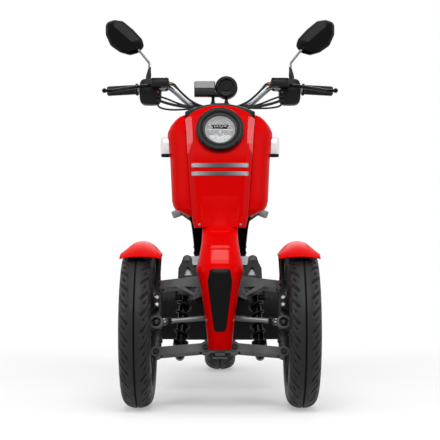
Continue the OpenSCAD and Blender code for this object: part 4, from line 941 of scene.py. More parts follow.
FOOT_X, FOOT_W, TOP_X, TOP_W, DAMPER_U = 118, -72, 98, 212, 46
wound, steel = damper(raked(FOOT_X, DAMPER_U, FOOT_W), raked(TOP_X, DAMPER_U, TOP_W), -RAKED_U, 23, 14, 12, 8)
piece("front_springs", *both(wound), powder_black, "frame", "black_steel", ("front_dampers",), angle=60)
piece("front_damper_bodies", *both(steel), black_gloss, "frame", "black_steel", angle=40)

# %% [markdown]
# In front each damper's upper end hangs in a pressed yoke with one window, and a bolt goes through both.
# A web closes the gap beside the nose, and a bare cast lug stands behind the yoke. All are flat parts, so
# each is an outline with a thickness, laid across the leaning kingpins.

# %% Yokes, webs, lugs and bolts
YOKE_AT = Vector(raked(TOP_X, 8.6, TOP_W))
YOKE_R, YOKE_THICK = 14, 5
crown = [(YOKE_R * math.cos(a), YOKE_R * math.sin(a)) for a in np.radians(np.linspace(0, 180, 25))]
YOKE = [(27, -57), (26, -28), (19, -13)] + crown + [(-16, -14), (-21, -28), (-19, -57)]
YOKE_WINDOW = [(9, -50), (2, -27), (-3, -24), (-8, -29), (-16, -50)]
WEB_AT, WEB_THICK = Vector(raked(0, 24, 0)), 1.5
WEB = [(30, 138), (72, 138), (72, 160), (82, 160), (82, 197), (30, 197)]
LUG_AT, LUG_THICK = Vector(raked(0, 16.4, 0)), 1.6
LUG = [(78, 156), (112, 156), (104, 190), (90, 190)]
DAMPER_BOLT = [(10, 0), (10, 2), (7.6, 2), (7.6, 6.5), (6.8, 7.4), (0.4, 7.6)]
for sign, word in ((1, "left"), (-1, "right")):
    sheet = plate(YOKE, YOKE_AT, ACROSS, RAKED_W, YOKE_THICK)
    window = plate(YOKE_WINDOW, YOKE_AT, ACROSS, RAKED_W, YOKE_THICK + 4)
    if sign < 0:
        sheet, window = mirrored(sheet), mirrored(window)
    yoke = piece(f"damper_yoke_{word}", *sheet, black_gloss, "frame", "black_steel")
    carve(yoke, tool(*window), "DIFFERENCE")
    rounded(yoke, 1.5, 40)
web, lug = plate(WEB, WEB_AT, ACROSS, RAKED_W, WEB_THICK), plate(LUG, LUG_AT, ACROSS, RAKED_W, LUG_THICK)
piece("damper_webs", *both(web), black_gloss, "frame", "black_steel", round_mm=1.0)
piece("damper_lugs", *both(lug), cast_bare, "frame", "silver_steel", round_mm=1.0)
bolts = [turned(DAMPER_BOLT, raked(x, u, w), -RAKED_U, HEX * 4)
         for x, u, w in ((FOOT_X, 33.8, FOOT_W), (TOP_X, 3.4, TOP_W))]
piece("damper_bolts", *both(several(bolts)), cast_grey, "frame", "black_steel", angle=30)

# %% [markdown]
# The rear dampers are slimmer ones of the same make. They stand upright between the swingarm and the seat's
# frame, with their eyes across the scooter.

# %% Rear dampers
REAR_FOOT, REAR_TOP = (88, Y(1250), 300), (88, Y(1215), 567)
wound, steel = damper(REAR_FOOT, REAR_TOP, ACROSS, 17, 12, 8, 9)
piece("rear_springs", *both(wound), powder_black, "frame", "black_steel", ("rear_dampers",), angle=60)
piece("rear_damper_bodies", *both(steel), black_gloss, "frame", "black_steel", angle=40)

# %% [markdown]
# ## Front linkage
# The arms turn on bolts, seen from the front as dark heads in grey washers. The ball joints of the tie rods
# have a cap and a rubber boot, and each rod has a lock nut. These small parts say how the linkage comes
# apart, so they are turned one by one.

# %% Pivot bolts of the arms
PIVOTS = ((184, -78), (184, 124), (42, -65), (42, 142))
PIVOT_U = 20.2
WASHER = [(9.4, -0.6), (14.6, -0.6), (15, 0.4), (14.6, 1.6), (9.4, 1.6)]
SOCKET_HEAD = [(8.6, 0), (8.6, 5), (7.6, 6.2), (3.6, 6.2), (3.4, 3.4), (0.3, 3.2)]
PIVOT_NUT = [(9.8, -1), (9.8, 6), (8.8, 7), (5, 7), (4.6, 9), (0.3, 9.4)]
heads, washers = [], []
for x, w in PIVOTS:
    ahead, behind = raked(x, -PIVOT_U, w), raked(x, PIVOT_U, w)
    washers.append(turned(WASHER, ahead, -RAKED_U, 40, ring=True))
    heads.append(turned(SOCKET_HEAD, ahead, -RAKED_U, HEX * 3))
    heads.append(turned(PIVOT_NUT, behind, RAKED_U, HEX, 0.3))
piece("pivot_washers", *both(several(washers)), cast_grey, "frame", "silver_steel", angle=30)
piece("pivot_heads", *both(several(heads)), powder_black, "frame", "black_steel", angle=30)

# %% Tie rod ends and axle nuts
LOCK_NUT = [(10.6, 0), (10.6, 7), (9.8, 8), (7.6, 8)]
BOOT = [(8, 0), (9.6, 2), (9.0, 4), (11.4, 6.5), (10.4, 9), (12.4, 12), (11, 15), (8, 17)]
BALL_CAP = [(21.5, 6.6), (21.5, 8.2), (20, 9.6), (14, 9.8), (12.7, 7.2)]
HUB_CAP = [(14.2, -1), (14.2, 3.4), (12.6, 5), (4, 5.4), (0.3, 5.5)]
AXLE_NUT = [(11, 5), (11, 9), (9.6, 10.4), (5.4, 10.4), (5, 11.4), (0.3, 11.8)]
HUB_OUT = 36.4
for sign, word in ((1, "left"), (-1, "right")):
    outer, inner = Vector(raked(sign * 184, -45, 0)), Vector(raked(sign * 12, -26, 23))
    step = (inner - outer).normalized()
    lock = turned(LOCK_NUT, outer + step * 18.4, step, HEX)
    boot = turned(BOOT, outer + step * 27.5, step, 28)
    cap = turned(BALL_CAP, outer, -RAKED_U, 40, ring=True)
    rod = f"tie_rod_{word}"
    piece(f"rod_nut_{word}", *lock, zinc, rod, "silver_steel", angle=30)
    piece(f"rod_cap_{word}", *cap, cast_grey, rod, "silver_steel", angle=30)
    piece(f"rod_boot_{word}", *boot, grip_rubber, rod, "grip_rubber", angle=30)
    hub, out = Vector((sign * (TRACK_X + HUB_OUT), FRONT_Y, FRONT_R)), (sign, 0, 0)
    ends = [turned(HUB_CAP, hub, out, 40), turned(AXLE_NUT, hub, out, HEX)]
    piece(f"axle_cap_{word}", *several(ends), zinc, f"knuckle_{word}", "silver_steel", angle=30)

# %% [markdown]
# ## Handlebar controls
# Ribbed rubber grips are moulded and pushed on the bar. Their ribs could be bump, but they show at the edge
# of the grip, so the turned profile has them all.

# %% Grips
BAR_S = 264.6
BAR_Y = Y(BAR_S)
BEND, END = Vector((154, Y(BAR_S + 18), 976)), Vector((357, Y(BAR_S + 68), 972))
BAR_RUN = (END - BEND).normalized()
GRIP_LONG, RIBS, RIB_PITCH = 97, 17, 5


def on_bar(x):
    """The middle of the bar's straight end at a distance from the middle of the scooter."""
    return BEND + BAR_RUN * ((x - BEND.x) / BAR_RUN.x)


def oblong(low, high, axis, p=5.0, inset=3.0, count=40):
    """A rounded oblong loft along one axis (0, 1 or 2) with its two ends eased."""
    low, high = np.array(low, float), np.array(high, float)
    mid, half = (low + high) / 2, (high - low) / 2
    u, v = [k for k in range(3) if k != axis]
    rings = []
    for d, cut in ((-1, inset), (-1 + 0.3 * inset / half[axis], 0.3 * inset), (-1 + inset / half[axis], 0),
                   (1 - inset / half[axis], 0), (1 - 0.3 * inset / half[axis], 0.3 * inset), (1, inset)):
        ring = []
        for a in np.arange(count) * 2 * math.pi / count:
            q = mid.copy()
            q[axis] += d * half[axis]
            q[u] += (half[u] - cut) * bulge(math.cos(a), p)
            q[v] += (half[v] - cut) * bulge(math.sin(a), p)
            ring.append(tuple(q))
        rings.append(ring)
    return skin(rings)


profile = [(11.5, 0), (19, 0), (19.5, 1), (19.5, 3), (19, 4), (15.4, 5)]
for k in range(RIBS):
    profile += [(r, h + RIB_PITCH * k) for r, h in ((15.5, 6), (15.5, 8.6), (14.4, 9.4), (14.4, 10.2))]
profile += [(15.5, 91.5), (15.5, 97), (14.6, 99.6), (12, 100.6), (0.3, 100.8)]
grip = turned(profile, END - BAR_RUN * GRIP_LONG, BAR_RUN, 40)
piece("grip_sleeves", *both(grip), grip_rubber, "steering", "grip_rubber", ("grips",), angle=40)

# %% [markdown]
# Inboard of each grip sits a switch box split along its middle, with rockers on the rider's side and red
# push buttons. In front of it, on a short foot, is the brake's fluid box with a screwed lid and a brass
# hose union. They are lofts of rounded oblongs, since all of them come from two-part moulds.

# %% Switch boxes and fluid boxes
POD_Y = on_bar(220).y
box = oblong((187, POD_Y - 18, 923), (256, POD_Y + 28, 1006), 1, 4.0, 6)
split = oblong((186.7, POD_Y + 3, 922.7), (256.3, POD_Y + 5, 1006.3), 1, 4.0, 0.3)
fluid = oblong((160, POD_Y - 66, 973), (217, POD_Y - 27.3, 996), 2, 6.0, 2)
lid = oblong((161, POD_Y - 65, 996), (216, POD_Y - 28.3, 1001), 2, 6.0, 1.5)
foot = oblong((191, POD_Y - 30, 976), (216, POD_Y - 16, 993), 1, 6.0, 1)
piece("switch_boxes", *both(several([box, fluid, foot])), black_abs, "steering", "black_plastic",
      ("control_pods",), angle=40)
piece("switch_seams", *both(several([split, lid])), black_gloss, "steering", "black_plastic", angle=40)
rockers = [oblong((198, POD_Y + 27, 978), (222, POD_Y + 32, 990), 1, 4, 1.5),
           oblong((226, POD_Y + 27, 978), (246, POD_Y + 32, 990), 1, 4, 1.5),
           oblong((200, POD_Y + 27, 948), (244, POD_Y + 31, 958), 1, 4, 1.5)]
piece("switch_rockers", *both(several(rockers)), grip_rubber, "steering", "grip_rubber")

# %% Buttons, unions and screws
LARGE_BUTTON = [(6.5, 0), (6.5, 3), (5.6, 4.4), (0.3, 4.8)]
SMALL_BUTTON = [(4.2, 0), (4.2, 2.4), (3.4, 3.2), (0.3, 3.4)]
UNION = [(7.4, 0), (7.4, 3.6), (5.2, 3.8), (5.2, 7), (7, 7.2), (7, 10.4), (6, 11)]
LID_SCREW = [(3, -0.5), (3, 1.2), (2.2, 1.8), (0.9, 1.8), (0.8, 0.9), (0.1, 0.9)]
buttons = [turned(LARGE_BUTTON, (-214, POD_Y + 28, 968), (0, 1, 0), 28)]
buttons += [turned(SMALL_BUTTON, (x, POD_Y - 17.6, 962), (0, -1, 0), 24) for x in (-196.5, 196.5)]
piece("stop_buttons", *several(buttons), red_lens, "steering", "red_lens")
union = turned(UNION, (160.4, POD_Y - 46, 984), (-1, 0, 0), HEX * 4)
lid_screws = [turned(LID_SCREW, (x, POD_Y + dy, 1000.8), (0, 0, 1), 20) for x, dy in ((168, -59), (210, -34))]
piece("hose_unions", *both(union), brass, "steering", "silver_steel", angle=30)
piece("lid_screws", *both(several(lid_screws)), zinc, "steering", "silver_steel", angle=30)

# %% [markdown]
# From each union a brake hose runs down along the bar, and two cables leave the switch box. They are clipped
# to the steering stem, so they turn with the bar. Each route is a few points across, behind the bar's middle
# and up, with a smooth curve through them.

# %% Hoses and cables along the bar
HOSE = [(150.4, -11.7, 984), (143, -12.5, 981), (131, -14, 966), (112, -15, 947), (92, -15.5, 930),
        (70, -16, 918), (48, -16, 911), (24, -12, 908)]
SWITCH_CABLE = [(204, 14, 938), (188, 8, 932), (166, 0, 924), (140, -6, 917), (112, -10, 912),
                (80, -13, 910), (50, -13, 910), (24, -8, 911)]
BRAKE_CABLE = [(204, 8, 949), (186, 0, 944), (164, -5, 936), (138, -8, 925), (110, -9, 916),
               (80, -8, 914), (50, -6, 914), (24, -2, 914)]
cords = [tube(smooth([(x, BAR_Y + dy, z) for x, dy, z in route], 6), r, 12)
         for route, r in ((HOSE, 3.6), (SWITCH_CABLE, 4.4), (BRAKE_CABLE, 3.0))]
piece("control_cords", *both(several(cords)), grip_rubber, "steering", "grip_rubber", angle=40)

# %% [markdown]
# ## Mirrors
# A mirror is a black moulded shell with a flat glass on the rider's side and a raised ridge across its back,
# on a bent rod with a ball joint. The outline is that of a leaf: a cord laid round circles at a few corners.
# Smaller copies of it step forwards and the last one closes on the ridge, which gives the two facets seen
# from the front.

# %% Mirror shells
MIRROR_CORNERS = [(262, 1117), (270, 1108), (288, 1103), (312, 1110), (336, 1127), (348, 1154), (348, 1176),
                  (336, 1179.9), (318, 1177), (290, 1154), (265, 1127)]
MIRROR_R, MIRROR_Y = 18, on_bar(228).y + 5
MIRROR_STEPS = ((6, 12.2), (2.5, 12.2), (0.6, 11), (0, 8.5), (0, 3), (0.8, 0), (4, -5), (9, -11))
RIDGE_A, RIDGE_B = np.array((284.0, 1124.0)), np.array((338.0, 1172.0))


def rounded_outline(corners, r, count=96):
    """Convex outline round circles at the corners, evenly spaced."""
    dots = sorted((x + r * math.cos(a), z + r * math.sin(a)) for x, z in corners
                  for a in np.linspace(0, 2 * math.pi, 64, endpoint=False))
    loop = []
    for row in (dots, dots[::-1]):
        half = []
        for q in row:
            while len(half) > 1 and ((half[-1][0] - half[-2][0]) * (q[1] - half[-2][1])
                                     - (half[-1][1] - half[-2][1]) * (q[0] - half[-2][0])) <= 0:
                half.pop()
            half.append(q)
        loop += half[:-1]
    return evenly(loop, count)


ridge_long = np.linalg.norm(RIDGE_B - RIDGE_A)
lean = (RIDGE_B - RIDGE_A) / ridge_long
rings = [[(x, MIRROR_Y + dy, z) for x, z in rounded_outline(MIRROR_CORNERS, MIRROR_R - inset)]
         for inset, dy in MIRROR_STEPS]
inner = rounded_outline(MIRROR_CORNERS, MIRROR_R - MIRROR_STEPS[-1][0])
for pull, dy in ((0.55, -14.6), (0.93, -17.6)):
    ring = []
    for q in inner:
        t = np.clip((q - RIDGE_A) @ lean, 0, ridge_long)
        x, z = q + (RIDGE_A + lean * t - q) * pull
        ring.append((x, MIRROR_Y + dy, z))
    rings.append(ring)
piece("mirror_shells", *both(skin(rings)), black_gloss, "steering", "black_plastic", ("mirrors",), angle=24)

# %% Mirror stems
STEM_FOOT, STEM_LEAN, STEM_R = (229, MIRROR_Y, 1006.2), (-0.12, 0, 1), 4
STEM = [(229, 0, 1006.3), (226.5, 0, 1030), (226, -1, 1053), (226.6, -1, 1058), (229, -2, 1062),
        (250, -3, 1088), (270, -4, 1112), (290, -4, 1136)]
BALL = [(3, -9), (7.4, -7), (8.6, -2), (8.6, 3), (7.2, 8), (3, 10)]
STEM_NUT = [(9.4, 0), (9.4, 8), (8.4, 9.2), (5, 9.4)]
SLEEVE = [(8.4, 9), (8, 16), (5.6, 27), (4.4, 38), (4, 40)]
stem = tube(smooth([(x, MIRROR_Y + dy, z) for x, dy, z in STEM], 8), STEM_R, 16)
ball = turned(BALL, (268, MIRROR_Y - 4, 1109), (0.68, 0, 0.73), 24)
nut = turned(STEM_NUT, STEM_FOOT, STEM_LEAN, HEX)
sleeve = turned(SLEEVE, STEM_FOOT, STEM_LEAN, 24)
piece("mirror_stems", *both(stem), chrome, "steering", "silver_steel", angle=35)
piece("mirror_joints", *both(several([ball, nut, sleeve])), powder_black, "steering", "black_steel", angle=35)

# %% [markdown]
# ## Instrument
# Two units stand on the bar: an oblong one for the display and a round gauge, both facing the rider. From
# the front one sees their moulded backs and the pale lid of the oblong one. The oblong case and its lid are
# side views drawn through, and the gauge is turned.

# %% Instrument
CASE = ((-19, 945), (-22, 948), (-22, 967), (-21, 969), (-9, 990), (-6, 992), (13, 992), (16, 989),
        (16, 947), (14, 945))
CASE_LID = ((-20.5, 970.6), (-22.2, 970), (-9.6, 992.6), (-7, 994), (12, 994), (12, 992.2),
            (-6, 992.2), (-8.6, 990.8))
CASE_X, LID_X = (-81, -15), (-79, -17)
GAUGE_AT, REARWARD = (20, BAR_Y, 974), (0, 1, 0)
GAUGE = [(0.3, -17), (12, -17), (13, -16), (13.6, -14.6), (22, -14.6), (23.4, -19), (25, -20), (29.6, -20),
         (31, -19), (31.6, -12), (34, -11.4), (35, -10), (35, -2), (33.8, -1), (33.8, 1), (35, 2), (35, 18),
         (34.2, 21), (32, 22), (31, 19.4)]
GAUGE_RIM = [(31, 18.6), (35.6, 17.6), (36, 19.4), (35.4, 22), (33, 22.8), (31.4, 21.6)]
GAUGE_FACE = [(31.2, 18.8), (30, 20), (16, 20.9), (0.3, 21.2)]
LEG = [(6.6, 0), (6.6, 4), (5, 6), (5, 26)]
CLAMP_BOLT = [(6, 0), (6, 4.6), (5.2, 5.6), (2.8, 5.6), (2.6, 3), (0.2, 2.9)]
case = skin([[(x, BAR_Y + dy, z) for dy, z in CASE] for x in CASE_X])
base = oblong((-40, BAR_Y - 16, 944), (40, BAR_Y + 12, 959), 2, 6, 2)
gauge = turned(GAUGE, GAUGE_AT, REARWARD, 64)
legs = [turned(LEG, (x, BAR_Y, 925.2), (0, 0, 1), 24) for x in (-22, 20)]
piece("instrument_cases", *several([case, base, gauge] + legs), black_abs, "steering", "black_plastic",
      ("instrument",), angle=40)
lid = skin([[(x, BAR_Y + dy, z) for dy, z in CASE_LID] for x in LID_X])
piece("instrument_lid", *lid, grey_abs, "steering", "black_plastic", round_mm=0.6, angle=30)
rim = turned(GAUGE_RIM, GAUGE_AT, REARWARD, 64, ring=True)
piece("gauge_rim", *rim, chrome, "steering", "silver_steel", angle=40)
fronts = [turned(GAUGE_FACE, GAUGE_AT, REARWARD, 64),
          oblong((-76, BAR_Y + 14, 950), (-20, BAR_Y + 17.2, 987), 1, 8, 1)]
piece("instrument_faces", *several(fronts), black_gloss, "steering", "black_plastic", angle=40)
clamp = [turned(CLAMP_BOLT, (x, BAR_Y - 19.2, z), (0, -1, 0), HEX * 4) for x in (-20, 20) for z in (896, 914)]
piece("clamp_bolts", *several(clamp), zinc, "steering", "silver_steel", angle=30)

# %% [markdown]
# ## Seat cushion
# The seat is foam under vinyl, sewn from a top and a side band with a piped seam between them. A plain loft
# would look like plastic. So the foam starts a little small, as rounded oblongs across the seat, and its
# surface is cut into even cells that can swell.

# %% Seat foam
SEAT = [(968, 62, 726, 776), (998, 84, 726.3, 791), (1058, 108, 726.3, 787), (1118, 123, 726.3, 784),
        (1238, 127, 726.3, 796), (1348, 101, 726.3, 800), (1394, 62, 726, 780)]
CELL_MM = 6.0


def seat_ring(s, half, low, high, p=3.4, count=64):
    """A rounded oblong across the seat, s behind the front axle."""
    mid, tall = (low + high) / 2, (high - low) / 2
    return [(half * bulge(math.cos(a), p), Y(s), mid + tall * bulge(math.sin(a), p))
            for a in np.arange(count) * 2 * math.pi / count]


foam = skin([seat_ring(*row) for row in smooth(SEAT, 6)])
cushion = piece("seat_pad", *foam, seat_vinyl, "seat", "seat_vinyl", ("seat_cushion",), angle=80)
cells = cushion.modifiers.new("even", "REMESH")
cells.mode = "VOXEL"
cells.voxel_size = CELL_MM / 1000
bpy.context.view_layer.update()
even = applied(cushion)
cushion.modifiers.clear()
cushion.data = even
rest_at = np.array([tuple(v.co) for v in even.vertices])
print("foam:", len(rest_at), "points")

# %% [markdown]
# The vinyl is then inflated as cloth, without gravity, for twenty frames. That gives it the fullness between
# seams that no loft has. A cap on how far each point may move keeps the seat at its size.

# %% Cushion inflated as cloth
SWELL_MM = 6.0
PRESSURE, STIFFNESS, FRAMES = 4.0, 18.0, 20
move = np.zeros_like(rest_at)
air = cushion.modifiers.new("air", "CLOTH")
air.settings.use_pressure = True
air.settings.uniform_pressure_force = PRESSURE
air.settings.effector_weights.gravity = 0.0
air.settings.tension_stiffness = air.settings.compression_stiffness = STIFFNESS
for step in range(1, FRAMES + 1):
    scene.frame_set(step)
puffed = applied(cushion)
move = np.array([tuple(v.co) for v in puffed.vertices]) - rest_at
cushion.modifiers.clear()
bpy.data.meshes.remove(puffed)
scene.frame_set(1)
far = np.linalg.norm(move, axis=1, keepdims=True)
move *= np.minimum(1.0, SWELL_MM / 1000 / np.maximum(far, 1e-9))
print("seat: swollen by up to", round(float(np.linalg.norm(move, axis=1).max()) * 1000, 1), "mm")

# %% [markdown]
# The rider's place is a shallow dip, and the underside lies flat on its base. Both are pressed in last, as
# they are on a real seat, by moving points. One subdivision then makes the skin smooth.

# %% Dip and flat underside
SEAT_REST_Z, SEAT_TOP_Z = 726.5, 765
DIP_MM, DIP_S, DIP_LONG, DIP_HALF = 5.0, 1120, 46, 112
placed = rest_at + move
behind = placed[:, 1] * 1000 - FRONT_Y
aside = np.abs(placed[:, 0]) * 1000
dip = DIP_MM * np.exp(-((behind - DIP_S) / DIP_LONG) ** 2) * np.clip(1 - (aside / DIP_HALF) ** 2, 0, 1)
top = placed[:, 2] > SEAT_TOP_Z / 1000
placed[top, 2] -= dip[top] / 1000
placed[:, 2] = np.maximum(placed[:, 2], SEAT_REST_Z / 1000)
even.vertices.foreach_set("co", placed.astype(np.float32).ravel())
even.materials.clear()
even.materials.append(seat_vinyl)
even.shade_smooth()
even.update()
finer = cushion.modifiers.new("smooth_skin", "SUBSURF")
finer.levels = finer.render_levels = 1
print("seat: up to", round(float(placed[:, 2].max()) * 1000), "mm high")

# %% [markdown]
# The piping is a cord sewn into the seam. It runs round the seat just under the top edge, on the foam as it
# came out, so each of its points is found by a ray from outside that stops at the cushion.

# %% Piping
SEAM_S, SEAM_Z, SEAM_HALF, SEAM_LONG = 1185, 772, 128, 215
PIPING_R = 2.2
RAY_FROM = 0.6
bpy.context.view_layer.update()
pad = BVHTree.FromObject(cushion, bpy.context.evaluated_depsgraph_get())
mid = Vector((0, Y(SEAM_S) / 1000, SEAM_Z / 1000))
seam = []
for turn in np.linspace(0, 2 * math.pi, 161)[:-1]:
    aim = Vector((SEAM_HALF * math.cos(turn), SEAM_LONG * math.sin(turn), 0.0)).normalized()
    hit = pad.ray_cast(mid + aim * RAY_FROM, -aim)
    seam.append(tuple(v * 1000 for v in hit[0]))
seam = np.array(seam)
seam = (np.roll(seam, 1, axis=0) + seam * 2 + np.roll(seam, -1, axis=0)) / 4
piping = tube(np.concatenate([seam, seam[:1]]), PIPING_R, 8, False)
piece("seat_piping", *piping, seat_vinyl, "seat", "seat_vinyl", angle=60)
print("piping:", len(seam), "points")

# %% [markdown]
# ## Leg shield
# Behind the red shells a black shield closes the front towards the rider's legs. It is one deep moulding
# that opens forwards, drawn like the shells: height, half width, mouth and back. Its upper edge lies a
# little below that of the wings, as the wings lap over it.

# %% Leg shield
SHIELD = [(331.4, 150, 395, 440), (360, 100, 335, 415), (395, 74, 215, 325), (430, 78, 140, 262),
          (480, 80, 120, 240), (560, 94, 124.3, 248), (580, 131, 150.3, 255), (611, 143, 165.3, 265),
          (672, 147, 180.3, 285), (738, 151, 195.3, 305), (821, 160, 215.3, 330), (852, 134, 215.3, 330),
          (868, 110, 215.3, 330)]
SHIELD_P = 2.6
rows = [(z, half, back, mouth) for z, half, mouth, back in smooth(SHIELD, 6)]
piece("leg_shield_shell", *c_shell(rows, SHIELD_P), black_abs, "frame", "black_plastic", ("leg_shield",),
      round_mm=1.0, angle=50)

# %% [markdown]
# ## Top cowl
# A black moulding closes the body behind the headlight. Its arched lip shows as a dark band beside the red
# arch, and behind it lies a flat deck with a round opening for the steering stem. It could be one bent plate,
# but the lip has to stand up while the deck stays level, so the lip is a loft and the deck a pierced ring.

# %% Top cowl
LIP_R, LIP_TOP, LIP_HALF = 240, 907, 107
LIP_STATIONS = ((131, 5), (132.5, 2), (136, 0.4), (141, 0), (166, 0), (171, 0.6), (174, 3))
DECK_Z, DECK_HALF, DECK_P = 868.4, 111, 2.8
DECK_S, DECK_AHEAD, DECK_BEHIND = 190, 24, 140
STEM_S, STEM_HOLE = 252.5, 36.5
TURNS = np.arange(120) * 2 * math.pi / 120


def lip_ring(s, drop):
    """The lip's arch above the deck, s behind the front axle and lowered by drop at its eased edges."""
    row = np.linspace(-LIP_HALF + drop, LIP_HALF - drop, 61)
    top = [(x, Y(s), LIP_TOP - drop - LIP_R + math.sqrt(LIP_R ** 2 - x * x)) for x in row]
    return top + [(x, Y(s), DECK_Z) for x in row[::-1]]


def deck_edge(up, inset):
    """The deck's outer edge at a height above its underside, short in front of its middle and long behind."""
    edge = []
    for a in TURNS:
        far = DECK_BEHIND if math.sin(a) > 0 else DECK_AHEAD
        s = DECK_S + (far - inset) * bulge(math.sin(a), DECK_P)
        edge.append(((DECK_HALF - inset) * bulge(math.cos(a), DECK_P), Y(s), DECK_Z + up))
    return edge


def deck_hole(up, wider):
    """The edge of the stem's opening at a height above the deck's underside."""
    r = STEM_HOLE + wider
    return [(r * math.cos(a), Y(STEM_S + r * math.sin(a)), DECK_Z + up) for a in TURNS]


lip = skin([lip_ring(s, drop) for s, drop in LIP_STATIONS])
deck = joined([deck_edge(0, 0), deck_edge(3, 0), deck_edge(4.4, 1.4), deck_hole(4.4, 3), deck_hole(7, 2),
               deck_hole(7, 0), deck_hole(0, 0)])
piece("top_cowl_shell", *several([lip, deck]), black_abs, "frame", "black_plastic", ("top_cowl",), angle=35)

# %% [markdown]
# ## Shade apron
# Behind the front linkage a straight black apron crosses the scooter and hides the front of the belly. It
# fills the dark region there, which is partly black plastic and partly painted shade. It is a flat moulding
# with nearly square corners, so one rounded oblong is enough.

# %% Shade apron
SHADE_APRON_HALF, SHADE_APRON_LOW, SHADE_APRON_HIGH = 192, 172, 303
SHADE_APRON_FRONT, SHADE_APRON_BACK = Y(405), Y(418.5)
shade_apron = oblong((-SHADE_APRON_HALF, SHADE_APRON_FRONT, SHADE_APRON_LOW), (SHADE_APRON_HALF, SHADE_APRON_BACK, SHADE_APRON_HIGH), 1, 40, 2)
piece("front_shade_apron", *shade_apron, black_abs, "frame", "black_plastic", angle=40)

# %% [markdown]
# ## Turn signals
# Each turn signal is a silvered cup under a clear lens, with a black strip below in front and a grey shell
# behind. They could be plain domes, but the cup inside is what shines, so it is drawn as its own piece.

# %% Turn signals in front
SIGNAL_Y, SIGNAL_Z, SIGNAL_FOOT_Z = Y(196), 780, 753
SIGNAL_DEEP, SIGNAL_TALL, SIGNAL_FOOT_TALL = 13, 31, 6


def pod(stations, centre, half_a, half_b, axis, count=40, p=2.6):
    """A rounded oblong swept along x (axis 0) or y (axis 1): rows of (position, scale) about a centre."""
    rings = []
    for where, scale in stations:
        ring = []
        for t in np.arange(count) * 2 * math.pi / count:
            a = centre[0] + half_a * scale * bulge(math.cos(t), p)
            b = centre[1] + half_b * scale * bulge(math.sin(t), p)
            ring.append((where, a, b) if axis == 0 else (a, where, b))
        rings.append(ring)
    return skin(rings)


at = (SIGNAL_Y, SIGNAL_Z)
cup = pod([(157.5, 0.86), (170, 0.93), (176, 0.9), (172, 0.55), (168, 0.2)], at, SIGNAL_DEEP, SIGNAL_TALL, 0)
cover = pod([(156.8, 0.97), (172, 1.0), (179, 0.93), (182.6, 0.78), (184, 0.5)], at, SIGNAL_DEEP,
            SIGNAL_TALL + 1, 0)
foot = pod([(154.5, 0.9), (164, 1.0), (180, 0.9), (182, 0.6)], (SIGNAL_Y, SIGNAL_FOOT_Z), SIGNAL_DEEP,
           SIGNAL_FOOT_TALL, 0)
# The cups take the reflector's finish, with its faint painted glow.
piece("signal_cups", *both(cup), lamp_silver, "frame", "silver_steel")
piece("signal_covers", *both(cover), clear_cover, "frame", "clear_lens", ("front_indicators",))
piece("signal_feet", *both(foot), black_gloss, "frame", "black_plastic")

# %% [markdown]
# The rear signals hang on bent stalks beside the tail. They are drawn upright like the front ones, with
# squarer corners, and then turned about their middle, which is simpler than drawing a slanted oblong.

# %% Turn signals at the rear
BACK_Y, BACK_AT, BACK_TURN = Y(1500), (176, 625), math.radians(20)
BACK_HALF, BACK_TALL, BACK_P = 24, 16, 6
STALK = [(82, Y(1420), 587), (110, Y(1424), 590), (140, Y(1460), 610), (163, Y(1492), 628)]


def back_pod(stations):
    """A rear signal's part, tipped so that its outer end hangs lower: rows of (distance back, scale)."""
    points, faces = pod([(BACK_Y + d, scale) for d, scale in stations], BACK_AT, BACK_HALF, BACK_TALL, 1,
                        p=BACK_P)
    (mx, mz), c, s = BACK_AT, math.cos(BACK_TURN), math.sin(BACK_TURN)
    points = [(mx + (x - mx) * c + (z - mz) * s, y, mz - (x - mx) * s + (z - mz) * c) for x, y, z in points]
    return points, faces


shell = back_pod([(-14, 0.45), (-11.5, 0.8), (-5, 0.97), (4, 1.0), (4, 0.9)])
glass = back_pod([(3, 0.96), (9, 0.94), (12.6, 0.82), (14, 0.5)])
piece("rear_signal_shells", *both(shell), grey_abs, "frame", "black_plastic", ("rear_indicators",))
piece("rear_signal_lenses", *both(glass), clear_lens, "frame", "clear_lens")
piece("rear_signal_stalks", *both(tube(smooth(STALK, 6), 6, 16)), powder_black, "frame", "black_steel")

# %% [markdown]
# ## Floor and light
# The scooter stands on a plain pale floor in a white studio. The floor's paleness is its own colour, helped
# for the eye and for reflections only, and it keeps the shadow under the wheels. A plain white plane would
# turn grey towards the horizon, so the help grows with the distance from the scooter.

# %% Floor and world
FLOOR_HALF = 30
FADE_FROM, FADE_TO = 0.9, 2.6


def studio_ray(tree):
    """One for what is seen directly, in a mirror or through a lens, and zero for light on the object."""
    path = add(tree, "ShaderNodeLightPath")
    seen = add(tree, "ShaderNodeMath", {0: path.outputs["Is Camera Ray"], 1: path.outputs["Is Glossy Ray"]},
               operation="MAXIMUM")
    return add(tree, "ShaderNodeMath", {0: seen.outputs[0], 1: path.outputs["Is Transmission Ray"]},
               operation="MAXIMUM").outputs[0]


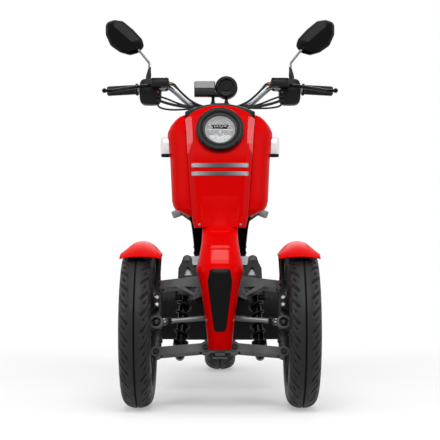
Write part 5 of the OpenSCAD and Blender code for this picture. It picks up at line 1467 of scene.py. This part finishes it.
corners = [(x * FLOOR_HALF, y * FLOOR_HALF, 0) for x, y in ((-1, -1), (1, -1), (1, 1), (-1, 1))]
floor_mesh = bpy.data.meshes.new("floor")
floor_mesh.from_pydata(corners, [], [(0, 1, 2, 3)])
floor = bpy.data.objects.new("floor", floor_mesh)
scene.collection.objects.link(floor)
pale = bpy.data.materials.new("studio_floor")
pale.use_nodes = True
tree = pale.node_tree
tree.nodes.clear()
place = add(tree, "ShaderNodeTexCoord").outputs["Object"]
spot = add(tree, "ShaderNodeTexNoise", {"Vector": place, "Scale": 3.0})
paper = add(tree, "ShaderNodeMix", {0: spot.outputs[0], 6: linear("#F4F4F4"), 7: linear("#F7F7F7")},
            data_type="RGBA")
matt = add(tree, "ShaderNodeBsdfDiffuse", {"Color": paper.outputs[2]})
glow = add(tree, "ShaderNodeEmission", {"Color": linear("#FFFFFF"), "Strength": studio_ray(tree)})
reach = add(tree, "ShaderNodeVectorMath", {0: place}, operation="LENGTH")
fade = add(tree, "ShaderNodeMapRange", {"Value": reach.outputs["Value"], "From Min": FADE_FROM,
                                        "From Max": FADE_TO, "To Min": 0.35, "To Max": 1.0},
           interpolation_type="SMOOTHSTEP")
helped = add(tree, "ShaderNodeMixShader", {0: fade.outputs[0], 1: matt.outputs[0], 2: glow.outputs[0]})
add(tree, "ShaderNodeOutputMaterial", {"Surface": helped.outputs[0]})
floor_mesh.materials.append(pale)

world = bpy.data.worlds.new("studio")
scene.world = world
world.use_nodes = True
tree = world.node_tree
tree.nodes.clear()
level = add(tree, "ShaderNodeMapRange", {"Value": studio_ray(tree), "To Min": 0.55, "To Max": 1.0})
sky = add(tree, "ShaderNodeBackground", {"Color": linear("#FFFFFF"), "Strength": level.outputs[0]})
add(tree, "ShaderNodeOutputWorld", {"Surface": sky.outputs[0]})
print("floor and world:", floor.name, world.name)

# %% [markdown]
# One broad soft lamp stands high in front, a weaker one on each side and one behind for the views from the
# rear. Broad lamps keep the colours about as they are written, and small ones would put hard spots on the
# lacquer. Each row gives a lamp's place, the point it faces, its size and its watts.

# %% Lamps
LAMPS = {
    "key": ((0.0, -3.2, 3.4), (0, -0.4, 0.6), 2.4, 95),
    "left": ((3.2, -1.2, 1.6), (0, -0.3, 0.6), 1.6, 30),
    "right": ((-3.2, -1.2, 1.6), (0, -0.3, 0.6), 1.6, 30),
    "rear": ((0.0, 3.4, 2.8), (0, 0.4, 0.6), 2.2, 45),
}
for name, (place, aim, size, watts) in LAMPS.items():
    lamp = bpy.data.lights.new(name, "AREA")
    lamp.size = size
    lamp.energy = watts
    holder = bpy.data.objects.new(name, lamp)
    holder.location = place
    holder.rotation_euler = (Vector(aim) - Vector(place)).to_track_quat("-Z", "Y").to_euler()
    scene.collection.objects.link(holder)
scene.view_settings.view_transform = "Standard"
print("lamps:", list(LAMPS))
